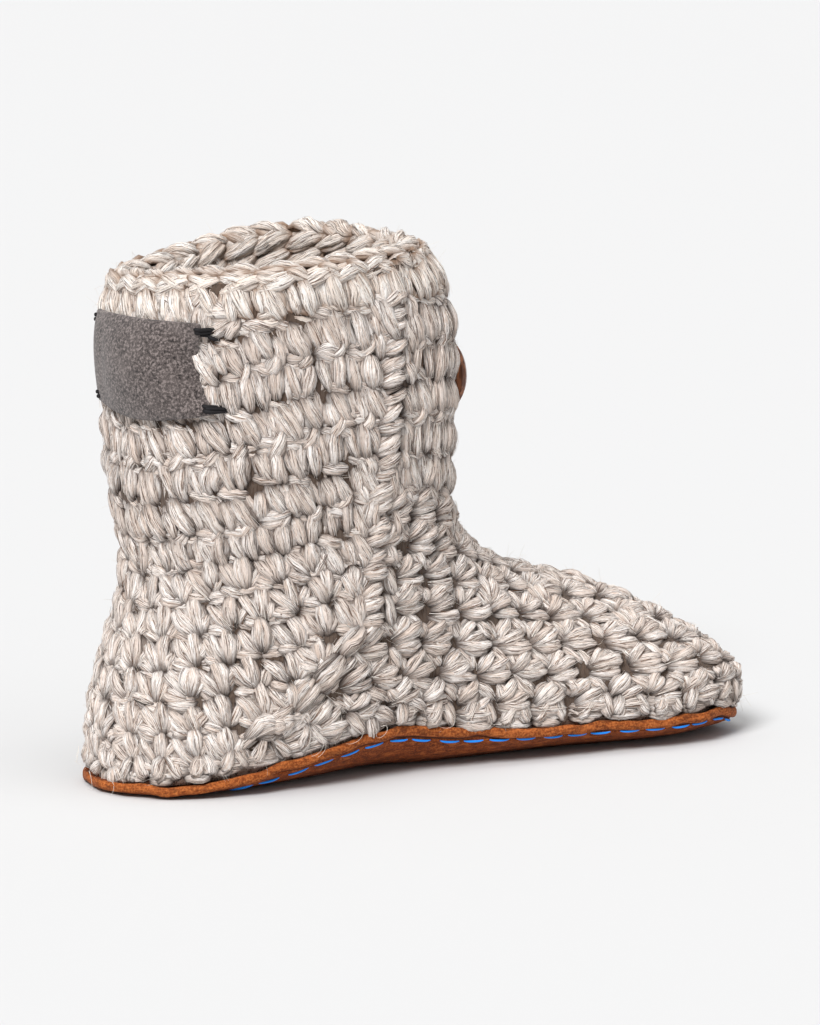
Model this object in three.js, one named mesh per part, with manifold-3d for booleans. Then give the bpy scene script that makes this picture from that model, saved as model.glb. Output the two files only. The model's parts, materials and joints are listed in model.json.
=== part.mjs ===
// A crocheted slipper boot on a leather sole: left foot, standing empty.
// Millimetres, +Z up. The foot points along +X and the wearer's inner side is -Y.
// Inside the functions x runs from the back of the heel; the last lines move the
// boot so that its origin is the middle of its box, on the floor.
import * as THREE from 'three';
import { mergeVertices } from 'three/addons/utils/BufferGeometryUtils.js';
import Module from 'manifold-3d';

const wasm = await Module();
wasm.setup();

// Driving sizes of the boot.
const FOOT_LENGTH = 256;
const COLLAR_HEIGHT = 178;
const COLLAR_TILT = 3;
const LEG_MIDDLE = 80;
const LEG_REACH = 62;
const WALL = 8;
const GAP = 0.3;
const WALL_GAP = 0.45;

// The crochet: rows run round the boot, each a soft bead, and are taller on the shaft.
const LOW_ROWS = 7;
const LOW_PITCH = 11.1;
const HIGH_ROWS = 7;
const HIGH_PITCH = 13.4;
const ROW_COUNT = LOW_ROWS + HIGH_ROWS;
const ROW_RELIEF = 1.1;
const RING_POINTS = 80;
const INNER_POINTS = RING_POINTS / 2;
const INNER_LEVELS = 13;
const COLLAR_BEAD = 0.8;
const RIM_CROWN = 3;
const FOOT_BEVEL = 0.6;

// The wool is drawn in where it is sewn to the leather.
const TUCK_HEIGHT = 13;
const TUCK_SIDE = 4;
const TUCK_TOE = 7;

// The raised seam that joins the heel piece to the front piece.
const SEAM_RELIEF = 1.8;
const SEAM_HALF_WIDTH = 8;

// The leather sole.
const SOLE_THICKNESS = 3.2;
const SOLE_FLANGE = 3.5;
const FLANGE_ROUND = 14;
const SOLE_FLAT = 0.5;
const SOLE_END = 40;
const SOLE_STATIONS = 44;
const END_CROWDING = 0.6;
const SOLE_HALF_STRIPS = 7;
const RISE_FADE = 70;

// Where the top of the foot starts, and how high up its side the rows stay full.
const VAMP_START = 120;
const VAMP_TOP = 95;
const VAMP_BLEND = 20;
const VAMP_SIDE = 0.5;

const INSOLE_THICKNESS = 4;
const INSOLE_CLEAR = 1.5;
const INSOLE_GAP = 0.7;
const INSOLE_STATIONS = 32;
const INSOLE_HALF_STRIPS = 4;

const LABEL = {
  width: 50,
  height: 31,
  thick: 1.8,
  middle: 146,
  aside: -5,
  bow: 4,
  sag: 4,
  skew: 4,
  columns: 12,
  rows: 8,
};
const BUTTON = { radius: 13, thick: 4.2, rim: 2.4, dish: 1.2, middle: 131, aside: -2, sides: 32 };
const BUTTON_HOLES = { count: 4, radius: 1.3, circle: 3.6, sides: 10 };

// The collar's edge isn't quite flat. Turn is in degrees from the front, by way of the outer side.
const COLLAR_FADE = 6;
const COLLAR_LINE = [
  { turn: 0, rise: 1.5 },
  { turn: 45, rise: 2.5 },
  { turn: 90, rise: 0 },
  { turn: 135, rise: -5 },
  { turn: 180, rise: -1 },
  { turn: 225, rise: 2 },
  { turn: 270, rise: 2.5 },
  { turn: 315, rise: 1.5 },
  { turn: 360, rise: 1.5 },
];

// The leg and heel: level ovals from the sole up to the collar.
const LEG = [
  { height: 0, back: 4, front: 122, half: 39 },
  { height: 14, back: 3, front: 130, half: 42 },
  { height: 40, back: 9, front: 138, half: 43 },
  { height: 60, back: 17, front: 142, half: 44 },
  { height: 76, back: 20, front: 143, half: 45 },
  { height: 94, back: 16, front: 143, half: 47 },
  { height: 120, back: 14, front: 143, half: 50 },
  { height: 148, back: 14, front: 142, half: 51 },
  { height: 164, back: 15, front: 136, half: 51 },
  { height: 178, back: 18, front: 125, half: 50 },
];
const LEG_POWER = 2.3;
const LEG_STRAIGHT = { low: 40, front: 180, blend: 60 };

// The foot: upright sections from the heel to the toe.
const FOOT = [
  { at: 30, centre: 0, half: 34, top: 108 },
  { at: 70, centre: 0, half: 38, top: 108 },
  { at: 100, centre: 2, half: 44, top: 104 },
  { at: 132, centre: 6, half: 52, top: 91 },
  { at: 150, centre: 7, half: 56, top: 75 },
  { at: 168, centre: 6, half: 57, top: 63 },
  { at: 190, centre: 1, half: 56, top: 56 },
  { at: 212, centre: -7, half: 53, top: 49 },
  { at: 232, centre: -16, half: 50, top: 38 },
  { at: 246, centre: -23, half: 47, top: 26 },
  { at: 253, centre: -26, half: 46, top: 18 },
  { at: 256, centre: -28, half: 45, top: 10 },
];
const HEEL_ROUND = 44;
const TOE_ROUND = 52;
const FOOT_ARCH = 2.6;
const JOIN_POWER = 5;

// How far the leather's edge turns up, and how far its middle lifts off the floor.
const SOLE_RISE = [
  { at: -4, inner: 2, outer: 2, middle: 1.5 },
  { at: 18, inner: 4, outer: 4, middle: 0 },
  { at: 45, inner: 7, outer: 6, middle: 0 },
  { at: 70, inner: 12, outer: 8, middle: 1 },
  { at: 95, inner: 14, outer: 10, middle: 2 },
  { at: 125, inner: 12, outer: 10, middle: 0 },
  { at: 160, inner: 10, outer: 10, middle: 0 },
  { at: 205, inner: 9, outer: 10, middle: 0 },
  { at: 260, inner: 8, outer: 9, middle: 4 },
];

// The seam's course on each side, from the sole at the heel up to the collar.
const SEAM = [
  { at: 18, height: 0 },
  { at: 82, height: 56 },
  { at: 88, height: 120 },
  { at: 90, height: 178 },
];

const HALVINGS = 30;
const MERGE_DISTANCE = 1e-4;
const SLIVER = 1e-3;

const clamp = (value, low, high) => Math.min(high, Math.max(low, value));

// A smooth value between the rows of a table, read by one column against another.
// It never passes the rows on either side, so flat stretches stay flat.
function read(table, key, column, where) {
  const last = table.length - 1;
  const spot = clamp(where, table[0][key], table[last][key]);
  let row = 0;
  while (row < last - 1 && spot > table[row + 1][key]) row += 1;
  const secant = (index) => {
    const from = table[clamp(index, 0, last - 1)];
    const to = table[clamp(index, 0, last - 1) + 1];
    return (to[column] - from[column]) / (to[key] - from[key]);
  };
  const slope = (index) => {
    const before = secant(index - 1);
    const after = secant(index);
    return before * after > 0 ? (2 * before * after) / (before + after) : 0;
  };
  const from = table[row];
  const to = table[row + 1];
  const span = to[key] - from[key];
  const t = (spot - from[key]) / span;
  const rise = t * t * (3 - 2 * t);
  const leave = t * (1 - t) * (1 - t) * span * slope(row);
  const arrive = t * t * (t - 1) * span * slope(row + 1);
  return from[column] + (to[column] - from[column]) * rise + leave + arrive;
}

// The quarter round that closes an outline at its end, 0 at the end and 1 inside.
function endRound(distance, length) {
  const inside = clamp(1 - distance / length, 0, 1);
  return Math.sqrt(1 - inside * inside);
}

const footCentre = (x) => read(FOOT, 'at', 'centre', x);

// Half the foot's width on the ground, less an inset from the wall's outside.
function footHalf(x, inset) {
  const heel = endRound(x - FOOT[0].at - inset, HEEL_ROUND);
  const toe = endRound(FOOT_LENGTH - inset - x, TOE_ROUND - inset);
  return (read(FOOT, 'at', 'half', x) - inset) * heel * toe;
}

const footTop = (x, inset) => read(FOOT, 'at', 'top', x) - inset;

// Where the top of the foot comes down to a height.
function footFront(height, inset) {
  let near = 0;
  let far = FOOT_LENGTH - inset;
  if (footTop(far, inset) >= height) return far;
  for (let step = 0; step < HALVINGS; step += 1) {
    const middle = (near + far) / 2;
    if (footTop(middle, inset) > height) near = middle;
    else far = middle;
  }
  return near;
}

// How far the wool is drawn in near the sole, 1 at the sole and 0 above the tuck.
const tuck = (height) => Math.pow(clamp(1 - height / TUCK_HEIGHT, 0, 1), 2);

function legHalf(x, height, inset) {
  const back = read(LEG, 'height', 'back', height) + inset;
  const front = read(LEG, 'height', 'front', height) - inset;
  const along = Math.abs((2 * x - back - front) / (front - back));
  const half = read(LEG, 'height', 'half', height) - inset;
  return half * Math.pow(clamp(1 - Math.pow(along, LEG_POWER), 0, 1), 1 / LEG_POWER);
}

// The station that a point of the drawn-in toe had before the wool was tucked.
function untucked(x, height) {
  const drawn = TUCK_TOE * tuck(height);
  const middle = FOOT_LENGTH / 2;
  return x + drawn * clamp((x - middle) / (middle - drawn), 0, 1);
}

function archHalf(x, height, inset) {
  const station = untucked(x, height);
  const share = clamp(height / footTop(station, inset), 0, 1);
  return footHalf(station, inset) * Math.pow(1 - Math.pow(share, FOOT_ARCH), 1 / 2);
}

// Half the boot's width at a height: leg and foot joined with a soft inside corner.
function bootHalf(x, height, inset) {
  const leg = legHalf(x, height, inset);
  const foot = archHalf(x, height, inset);
  const joined = Math.pow(Math.pow(leg, JOIN_POWER) + Math.pow(foot, JOIN_POWER), 1 / JOIN_POWER);
  const drawn = TUCK_SIDE * tuck(height) * (1 - inset / (2 * WALL));
  return joined - Math.min(joined, drawn);
}

// The middle line of the boot: the foot's own curve low down, straight in the leg.
function bootCentre(x, height) {
  const up = clamp((height - LEG_STRAIGHT.low) / LEG_STRAIGHT.blend, 0, 1);
  const behind = clamp((LEG_STRAIGHT.front - x) / LEG_STRAIGHT.blend, 0, 1);
  return footCentre(x) * (1 - up * behind);
}

function bootEnds(height, inset) {
  const back = read(LEG, 'height', 'back', height) + inset;
  const leg = read(LEG, 'height', 'front', height) - inset;
  const foot = footFront(height, inset) - TUCK_TOE * tuck(height);
  return { back, front: Math.max(leg, foot) };
}

// A level outline of the boot, as points spaced closely round its two ends.
function bootRing(height, inset, count) {
  const { back, front } = bootEnds(height, inset);
  const ring = [];
  for (let index = 0; index < count; index += 1) {
    const turn = (2 * Math.PI * index) / count;
    const x = back + ((front - back) * (1 - Math.cos(turn))) / 2;
    const atEnd = index === 0 || 2 * index === count;
    const side = atEnd ? 0 : -Math.sign(Math.sin(turn));
    ring.push(new THREE.Vector2(x, bootCentre(x, height) + side * bootHalf(x, height, inset)));
  }
  return ring;
}

// The sole's outline, a flange wider than the wool that stands on it.
const soleBack = read(LEG, 'height', 'back', 0) - SOLE_FLANGE;
const soleFront = FOOT_LENGTH - TUCK_TOE + SOLE_FLANGE;

function soleHalf(x) {
  const back = soleBack;
  const along = clamp((x - back) / (soleFront - back), 0, 1);
  const { back: woolBack, front: woolFront } = bootEnds(0, 0);
  const wool = woolBack + along * (woolFront - woolBack);
  const ends = endRound(x - back, FLANGE_ROUND) * endRound(soleFront - x, FLANGE_ROUND);
  return bootHalf(wool, 0, 0) + SOLE_FLANGE * ends;
}

// How high the leather's underside is: flat in the middle, turned up at the edge.
function soleRise(x, y) {
  const half = soleHalf(x);
  const across = (y - footCentre(x)) / Math.max(half, 1);
  const wide = clamp(half / SOLE_END, 0, 1);
  const edge = read(SOLE_RISE, 'at', across < 0 ? 'inner' : 'outer', x) * wide * wide;
  const turned = clamp((Math.abs(across) - SOLE_FLAT) / (1 - SOLE_FLAT), 0, 1.2);
  return read(SOLE_RISE, 'at', 'middle', x) + edge * turned * turned;
}

// The wool stands on the leather. Rows near the sole follow its edge, those above run
// level, and the collar is a little higher in front.
const BASE = SOLE_THICKNESS + WALL_GAP;

function wallHeight(x, y, height) {
  const fade = Math.pow(clamp(1 - height / RISE_FADE, 0, 1), 2);
  const tilt = COLLAR_TILT * Math.pow(height / COLLAR_HEIGHT, 2) * ((x - LEG_MIDDLE) / LEG_REACH);
  const turn = THREE.MathUtils.radToDeg(Math.atan2(y, x - LEG_MIDDLE));
  const slack = read(COLLAR_LINE, 'turn', 'rise', turn < 0 ? turn + 360 : turn);
  const line = slack * Math.pow(clamp(height / COLLAR_HEIGHT, 0, 1), COLLAR_FADE);
  return BASE + height + tilt + line + soleRise(x, y) * fade;
}

function seamRelief(x, height) {
  let nearest = Infinity;
  for (let row = 0; row < SEAM.length - 1; row += 1) {
    const from = new THREE.Vector2(SEAM[row].at, SEAM[row].height);
    const run = new THREE.Vector2(SEAM[row + 1].at, SEAM[row + 1].height).sub(from);
    const reach = new THREE.Vector2(x, height).sub(from);
    const share = clamp(reach.dot(run) / run.lengthSq(), 0, 1);
    nearest = Math.min(nearest, reach.sub(run.multiplyScalar(share)).length());
  }
  return SEAM_RELIEF * Math.exp(-Math.pow(nearest / SEAM_HALF_WIDTH, 2));
}

// The rows die away over the top of the foot, where the wall turns level.
function rowShare(x, height) {
  const below = clamp((VAMP_TOP - height) / VAMP_BLEND, 0, 1);
  const forward = clamp((x - VAMP_START) / VAMP_BLEND, 0, 1) * below;
  const overTop = clamp((height / footTop(x, 0) - VAMP_SIDE) / (1 - VAMP_SIDE), 0, 1);
  return 1 - forward * overTop;
}

// An outline pushed out along its own normals, and set at its height.
function raiseRing(ring, height, reliefAt) {
  return ring.map((point, index) => {
    const before = ring[(index + ring.length - 1) % ring.length];
    const after = ring[(index + 1) % ring.length];
    const normal = new THREE.Vector2(before.y - after.y, after.x - before.x).normalize().negate();
    const relief = reliefAt(point.x);
    const x = point.x + normal.x * relief;
    const y = point.y + normal.y * relief;
    return new THREE.Vector3(x, y, wallHeight(x, y, height));
  });
}

// Triangles that are kept as plain corners until a piece is closed.
function corners() {
  const list = [];
  return {
    list,
    triangle(a, b, c) {
      list.push(a, b, c);
    },
    quad(a, b, c, d) {
      list.push(a, b, c, a, c, d);
    },
  };
}

function solid(list) {
  const geometry = new THREE.BufferGeometry().setFromPoints(list);
  const merged = mergeVertices(geometry, MERGE_DISTANCE);
  merged.computeVertexNormals();
  return merged;
}

// A band between two rings, each four-sided face split along its shorter diagonal.
function lacePair(faces, low, high) {
  const count = low.length;
  for (let index = 0; index < count; index += 1) {
    const next = (index + 1) % count;
    const forward = low[index].distanceTo(high[next]);
    const backward = low[next].distanceTo(high[index]);
    if (forward <= backward) faces.quad(low[index], low[next], high[next], high[index]);
    else faces.quad(low[next], high[next], high[index], low[index]);
  }
}

// A band between a fine ring outside and one of half as many points inside it.
function laceHalf(faces, fine, coarse) {
  for (let index = 0; index < coarse.length; index += 1) {
    const first = fine[2 * index];
    const middle = fine[2 * index + 1];
    const last = fine[(2 * index + 2) % fine.length];
    const here = coarse[index];
    const next = coarse[(index + 1) % coarse.length];
    faces.triangle(first, middle, here);
    faces.triangle(middle, next, here);
    faces.triangle(middle, last, next);
  }
}

// How high the edge or the crest of a row is, counted in half rows from the sole.
function rowHeight(half) {
  const high = Math.max(half - 2 * LOW_ROWS, 0);
  return ((half - high) * LOW_PITCH + high * HIGH_PITCH) / 2;
}

function upperGeometry() {
  const outside = [];
  for (let half = 0; half <= 2 * ROW_COUNT + 1; half += 1) {
    const last = half > 2 * ROW_COUNT;
    const height = last ? COLLAR_HEIGHT : rowHeight(half);
    const bead = half % 2 === 1 ? ROW_RELIEF : -ROW_RELIEF;
    const collar = half >= 2 * ROW_COUNT ? COLLAR_BEAD : 0;
    const relief = (x) => bead * rowShare(x, height) + collar + seamRelief(x, height);
    outside.push(raiseRing(bootRing(height, 0, RING_POINTS), height, relief));
  }
  const plain = () => 0;
  const foot = raiseRing(bootRing(0, WALL, RING_POINTS), FOOT_BEVEL, plain);
  const inside = [];
  for (let level = 1; level <= INNER_LEVELS; level += 1) {
    const height = (COLLAR_HEIGHT * level) / INNER_LEVELS;
    inside.push(raiseRing(bootRing(height, WALL, INNER_POINTS), height, plain));
  }
  const crownHeight = COLLAR_HEIGHT + RIM_CROWN;
  const crown = raiseRing(bootRing(COLLAR_HEIGHT, WALL / 2, RING_POINTS), crownHeight, plain);
  const faces = corners();
  for (let ring = 0; ring < outside.length - 1; ring += 1) lacePair(faces, outside[ring], outside[ring + 1]);
  lacePair(faces, outside[outside.length - 1], crown);
  laceHalf(faces, crown, inside[inside.length - 1]);
  for (let ring = inside.length - 1; ring > 0; ring -= 1) lacePair(faces, inside[ring], inside[ring - 1]);
  const turned = corners();
  laceHalf(turned, foot, inside[0]);
  for (let index = 0; index < turned.list.length; index += 3) {
    faces.triangle(turned.list[index], turned.list[index + 2], turned.list[index + 1]);
  }
  lacePair(faces, foot, outside[0]);
  return solid(faces.list);
}

// A sheet of even thickness over the ground outline, from two height functions.
function sheetGeometry(sheet) {
  const { back, front, stations, strips, halfAt, lowAt, highAt } = sheet;
  const rows = [];
  for (let station = 0; station <= stations; station += 1) {
    const even = station / stations;
    const crowded = (1 - Math.cos(Math.PI * even)) / 2;
    const x = back + (front - back) * (END_CROWDING * crowded + (1 - END_CROWDING) * even);
    const row = [];
    for (let strip = -strips; strip <= strips; strip += 1) {
      const across = Math.sin((Math.PI / 2) * (strip / strips));
      row.push(new THREE.Vector2(x, footCentre(x) + across * halfAt(x)));
    }
    rows.push(row);
  }
  const low = rows.map((row) => row.map((p) => new THREE.Vector3(p.x, p.y, lowAt(p.x, p.y))));
  const high = rows.map((row) => row.map((p) => new THREE.Vector3(p.x, p.y, highAt(p.x, p.y))));
  const faces = corners();
  const last = 2 * strips;
  for (let station = 0; station < stations; station += 1) {
    for (let strip = 0; strip < last; strip += 1) {
      const next = station + 1;
      faces.quad(high[station][strip], high[next][strip], high[next][strip + 1], high[station][strip + 1]);
      faces.quad(low[station][strip], low[station][strip + 1], low[next][strip + 1], low[next][strip]);
    }
    faces.quad(low[station][0], low[station + 1][0], high[station + 1][0], high[station][0]);
    faces.quad(low[station + 1][last], low[station][last], high[station][last], high[station + 1][last]);
  }
  for (let strip = 0; strip < last; strip += 1) {
    faces.quad(low[0][strip + 1], low[0][strip], high[0][strip], high[0][strip + 1]);
    const end = stations;
    faces.quad(low[end][strip], low[end][strip + 1], high[end][strip + 1], high[end][strip]);
  }
  return solid(dropSlivers(faces.list));
}

// Triangles with two corners in one place, where a sheet narrows to its end.
function dropSlivers(list) {
  const kept = [];
  for (let index = 0; index < list.length; index += 3) {
    const [a, b, c] = list.slice(index, index + 3);
    const shortest = Math.min(a.distanceTo(b), b.distanceTo(c), c.distanceTo(a));
    if (shortest > SLIVER) kept.push(a, b, c);
  }
  return kept;
}

function outsoleGeometry() {
  return sheetGeometry({
    back: soleBack,
    front: soleFront,
    stations: SOLE_STATIONS,
    strips: SOLE_HALF_STRIPS,
    halfAt: soleHalf,
    lowAt: soleRise,
    highAt: (x, y) => soleRise(x, y) + SOLE_THICKNESS,
  });
}

function insoleGeometry() {
  const inset = WALL + INSOLE_CLEAR;
  const ends = bootEnds(0, inset);
  const base = SOLE_THICKNESS + INSOLE_GAP;
  return sheetGeometry({
    back: ends.back,
    front: ends.front,
    stations: INSOLE_STATIONS,
    strips: INSOLE_HALF_STRIPS,
    halfAt: (x) => bootHalf(x, 0, inset),
    lowAt: (x, y) => soleRise(x, y) + base,
    highAt: (x, y) => soleRise(x, y) + base + INSOLE_THICKNESS,
  });
}

// A point on the leg's smooth outside at one end, and the way that it faces.
function legFace(aside, height, end) {
  const back = read(LEG, 'height', 'back', height);
  const front = read(LEG, 'height', 'front', height);
  const half = read(LEG, 'height', 'half', height);
  const reach = (front - back) / 2;
  const across = clamp(Math.abs(aside) / half, 0, 1);
  const along = Math.pow(1 - Math.pow(across, LEG_POWER), 1 / LEG_POWER);
  const place = new THREE.Vector3((back + front) / 2 + end * reach * along, aside, BASE + height);
  const steepX = (end * Math.pow(along, LEG_POWER - 1)) / reach;
  const steepY = (Math.sign(aside) * Math.pow(across, LEG_POWER - 1)) / half;
  return { place, normal: new THREE.Vector3(steepX, steepY, 0).normalize() };
}

// The label lies on the back of the leg, bowed a little away from it in the middle.
function labelGeometry() {
  const { width, height, thick, middle, aside, bow, sag, skew, columns, rows } = LABEL;
  const clear = ROW_RELIEF + GAP;
  const skins = [0, thick].map((lift) => {
    const grid = [];
    for (let row = 0; row <= rows; row += 1) {
      const line = [];
      for (let column = 0; column <= columns; column += 1) {
        const u = (2 * column) / columns - 1;
        const v = (2 * row) / rows - 1;
        const drop = v < 0 ? sag * v * v * (1 - u * u) : 0;
        const across = aside + (u * width) / 2 - (skew * (1 - v)) / 2;
        const { place, normal } = legFace(across, middle + (v * height) / 2, -1);
        const stand = clear + bow * (1 - u * u) * (1 - v * v) + lift;
        const point = place.addScaledVector(normal, stand);
        line.push(new THREE.Vector3(point.x, point.y, point.z - drop));
      }
      grid.push(line);
    }
    return grid;
  });
  const [under, over] = skins;
  const faces = corners();
  for (let row = 0; row < rows; row += 1) {
    for (let column = 0; column < columns; column += 1) {
      const up = row + 1;
      const side = column + 1;
      faces.quad(over[row][column], over[up][column], over[up][side], over[row][side]);
      faces.quad(under[row][column], under[row][side], under[up][side], under[up][column]);
    }
    faces.quad(under[row][0], under[row + 1][0], over[row + 1][0], over[row][0]);
    faces.quad(under[row + 1][columns], under[row][columns], over[row][columns], over[row + 1][columns]);
  }
  for (let column = 0; column < columns; column += 1) {
    faces.quad(under[0][column + 1], under[0][column], over[0][column], over[0][column + 1]);
    faces.quad(under[rows][column], under[rows][column + 1], over[rows][column + 1], over[rows][column]);
  }
  return solid(faces.list);
}

function toManifold(geometry) {
  const plain = geometry.index ? geometry.toNonIndexed() : geometry.clone();
  plain.deleteAttribute('normal');
  plain.deleteAttribute('uv');
  const merged = mergeVertices(plain, MERGE_DISTANCE);
  const mesh = new wasm.Mesh({
    numProp: 3,
    vertProperties: new Float32Array(merged.attributes.position.array),
    triVerts: new Uint32Array(merged.index.array),
  });
  mesh.merge();
  return new wasm.Manifold(mesh);
}

function fromManifold(body) {
  const mesh = body.getMesh();
  const geometry = new THREE.BufferGeometry();
  geometry.setAttribute('position', new THREE.BufferAttribute(mesh.vertProperties, 3));
  geometry.setIndex(new THREE.BufferAttribute(mesh.triVerts, 1));
  geometry.computeVertexNormals();
  return geometry;
}

// The button is turned about +Y, its back at 0 and its dished face outward.
function buttonGeometry() {
  const { radius, thick, rim, dish, sides } = BUTTON;
  const round = thick / 3;
  const profile = [
    new THREE.Vector2(0, 0),
    new THREE.Vector2(radius - round, 0),
    new THREE.Vector2(radius, round),
    new THREE.Vector2(radius, thick - round),
    new THREE.Vector2(radius - round, thick),
    new THREE.Vector2(radius - rim, thick),
    new THREE.Vector2(radius - rim - dish, thick - dish),
    new THREE.Vector2(0, thick - dish),
  ];
  let body = toManifold(new THREE.LatheGeometry(profile, sides));
  for (let hole = 0; hole < BUTTON_HOLES.count; hole += 1) {
    const turn = (2 * Math.PI * (hole + 0.5)) / BUTTON_HOLES.count;
    const { circle, radius: bore, sides: facets } = BUTTON_HOLES;
    const drill = new THREE.CylinderGeometry(bore, bore, 4 * thick, facets);
    drill.translate(circle * Math.cos(turn), 0, circle * Math.sin(turn));
    body = body.subtract(toManifold(drill));
  }
  return fromManifold(body);
}

const wool = new THREE.MeshStandardMaterial({ color: 0xc8beb4, roughness: 0.95 });
const leather = new THREE.MeshStandardMaterial({ color: 0x8c4b23, roughness: 0.85 });
const felt = new THREE.MeshStandardMaterial({ color: 0xb9aea3, roughness: 0.95 });
const tab = new THREE.MeshStandardMaterial({ color: 0x625a5a, roughness: 0.9 });
const wood = new THREE.MeshStandardMaterial({ color: 0x7a5138, roughness: 0.6 });

function piece(name, geometry, material) {
  const mesh = new THREE.Mesh(geometry, material);
  mesh.name = name;
  return mesh;
}

const boot = new THREE.Group();
boot.add(piece('upper', upperGeometry(), wool));
boot.add(piece('outsole', outsoleGeometry(), leather));
boot.add(piece('insole', insoleGeometry(), felt));
boot.add(piece('label', labelGeometry(), tab));

// The button's back stands just clear of the rows, square to the leg's front.
const button = piece('button', buttonGeometry(), wood);
const seat = legFace(BUTTON.aside, BUTTON.middle, 1);
button.position.copy(seat.place).addScaledVector(seat.normal, ROW_RELIEF + GAP);
button.quaternion.setFromUnitVectors(new THREE.Vector3(0, 1, 0), seat.normal);
boot.add(button);

// The origin goes to the middle of the whole box, on the floor.
boot.updateMatrixWorld(true);
const box = new THREE.Box3().setFromObject(boot, true);
const middle = box.getCenter(new THREE.Vector3());
boot.position.set(-middle.x, -middle.y, -box.min.z);

export default boot;
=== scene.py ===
# %% [markdown]
# # A crocheted slipper boot
# The boot is one thick wool yarn worked into rows, on a thin leather sole.
# The frame gives the plain solids in metres. Each soft solid is replaced here by
# the thing that it stands for: many short strands of yarn, a leather sheet with a
# sewn edge, a suede tab and a turned button.

import json
import math

import bmesh
import bpy
import numpy as np
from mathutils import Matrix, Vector
from mathutils.bvhtree import BVHTree
from mathutils.kdtree import KDTree

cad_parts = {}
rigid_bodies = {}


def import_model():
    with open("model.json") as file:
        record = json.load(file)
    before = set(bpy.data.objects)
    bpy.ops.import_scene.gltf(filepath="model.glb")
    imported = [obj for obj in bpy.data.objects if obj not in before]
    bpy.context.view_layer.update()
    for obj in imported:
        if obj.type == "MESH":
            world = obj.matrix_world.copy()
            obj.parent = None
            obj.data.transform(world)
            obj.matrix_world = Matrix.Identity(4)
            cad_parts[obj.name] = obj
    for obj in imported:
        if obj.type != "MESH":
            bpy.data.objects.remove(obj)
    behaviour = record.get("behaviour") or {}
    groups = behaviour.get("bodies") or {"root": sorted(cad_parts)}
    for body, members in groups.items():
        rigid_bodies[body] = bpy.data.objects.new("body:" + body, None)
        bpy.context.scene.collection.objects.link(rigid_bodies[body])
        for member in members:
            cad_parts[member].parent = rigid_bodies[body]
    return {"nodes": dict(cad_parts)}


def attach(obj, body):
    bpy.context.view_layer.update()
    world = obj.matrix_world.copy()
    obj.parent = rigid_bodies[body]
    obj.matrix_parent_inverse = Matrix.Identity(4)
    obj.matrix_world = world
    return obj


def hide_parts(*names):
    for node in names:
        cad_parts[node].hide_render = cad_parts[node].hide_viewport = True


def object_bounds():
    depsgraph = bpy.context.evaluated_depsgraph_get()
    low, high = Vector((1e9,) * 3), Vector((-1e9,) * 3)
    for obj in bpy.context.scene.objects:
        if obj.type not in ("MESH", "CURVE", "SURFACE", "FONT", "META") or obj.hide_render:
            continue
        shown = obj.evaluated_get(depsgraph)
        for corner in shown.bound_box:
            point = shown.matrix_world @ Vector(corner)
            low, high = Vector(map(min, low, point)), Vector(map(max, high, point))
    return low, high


for leftover in list(bpy.data.objects):
    bpy.data.objects.remove(leftover)
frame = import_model()
CAD_LOW, CAD_HIGH = [np.array(corner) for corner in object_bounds()]
MM = 0.001
HEEL_X = CAD_LOW[0]
draw = np.random.default_rng(11)
print("frame", np.round((CAD_HIGH - CAD_LOW) / MM, 1))

# %% [markdown]
# ## Camera, floor and light
# The camera looks at the inner side from a little behind, just above the floor. A
# long lens keeps the sides of the shaft nearly parallel. The floor runs on to a pale
# background. The light is a white room with a soft lamp on the left, one above and a
# faint one on the right.

# %% Camera, floor and light
AZIMUTH, ELEVATION = math.radians(-36.0), math.radians(9.2)
DISTANCE = 2.2
TARGET = Vector((0.0046, -0.0034, 0.0855))
METRES_PER_PIXEL = 0.000355
LONG_SIDE_PIXELS = 1025
SENSOR = 36.0
FAR_CLIP = 100.0
ROOM_LIGHT = 0.43
FLOOR_HALF, FLOOR_GREY = 30.0, (0.633, 0.633, 0.635, 1)

scene = bpy.context.scene
scene.view_settings.view_transform = "Standard"
scene.view_settings.look = "None"


def towards_camera(azimuth, elevation):
    """The direction from the object to a viewer."""
    flat = math.cos(elevation)
    return Vector((math.sin(azimuth) * flat, -math.cos(azimuth) * flat, math.sin(elevation)))


def aim(obj, place, target):
    """Puts a camera or lamp at a place, looking at the target."""
    obj.location = place
    obj.rotation_euler = (target - place).to_track_quat("-Z", "Y").to_euler()


camera_data = bpy.data.cameras.new("camera")
camera_data.sensor_width = SENSOR
camera_data.lens = DISTANCE / METRES_PER_PIXEL / LONG_SIDE_PIXELS * SENSOR
camera_data.dof.use_dof = False
camera_data.clip_end = FAR_CLIP
camera = bpy.data.objects.new("camera", camera_data)
scene.collection.objects.link(camera)
aim(camera, TARGET + towards_camera(AZIMUTH, ELEVATION) * DISTANCE, TARGET)
scene.camera = camera

world = bpy.data.worlds.new("room")
scene.world = world
world.use_nodes = True
room = world.node_tree.nodes["Background"]
room.inputs["Color"].default_value = (1.0, 1.0, 1.0, 1)
room.inputs["Strength"].default_value = ROOM_LIGHT

LAMPS = (
    # name, azimuth, elevation and spread in degrees, strength
    ("key", -56, 41, 22, 3.5),
    ("fill", 30, 45, 60, 0.25),
    ("top", 0, 86, 30, 0.80),
)
for name, azimuth, elevation, spread, strength in LAMPS:
    lamp_data = bpy.data.lights.new(name, "SUN")
    lamp_data.angle = math.radians(spread)
    lamp_data.energy = strength
    lamp = bpy.data.objects.new(name, lamp_data)
    scene.collection.objects.link(lamp)
    away = towards_camera(math.radians(azimuth), math.radians(elevation))
    aim(lamp, TARGET + away, TARGET)

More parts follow.
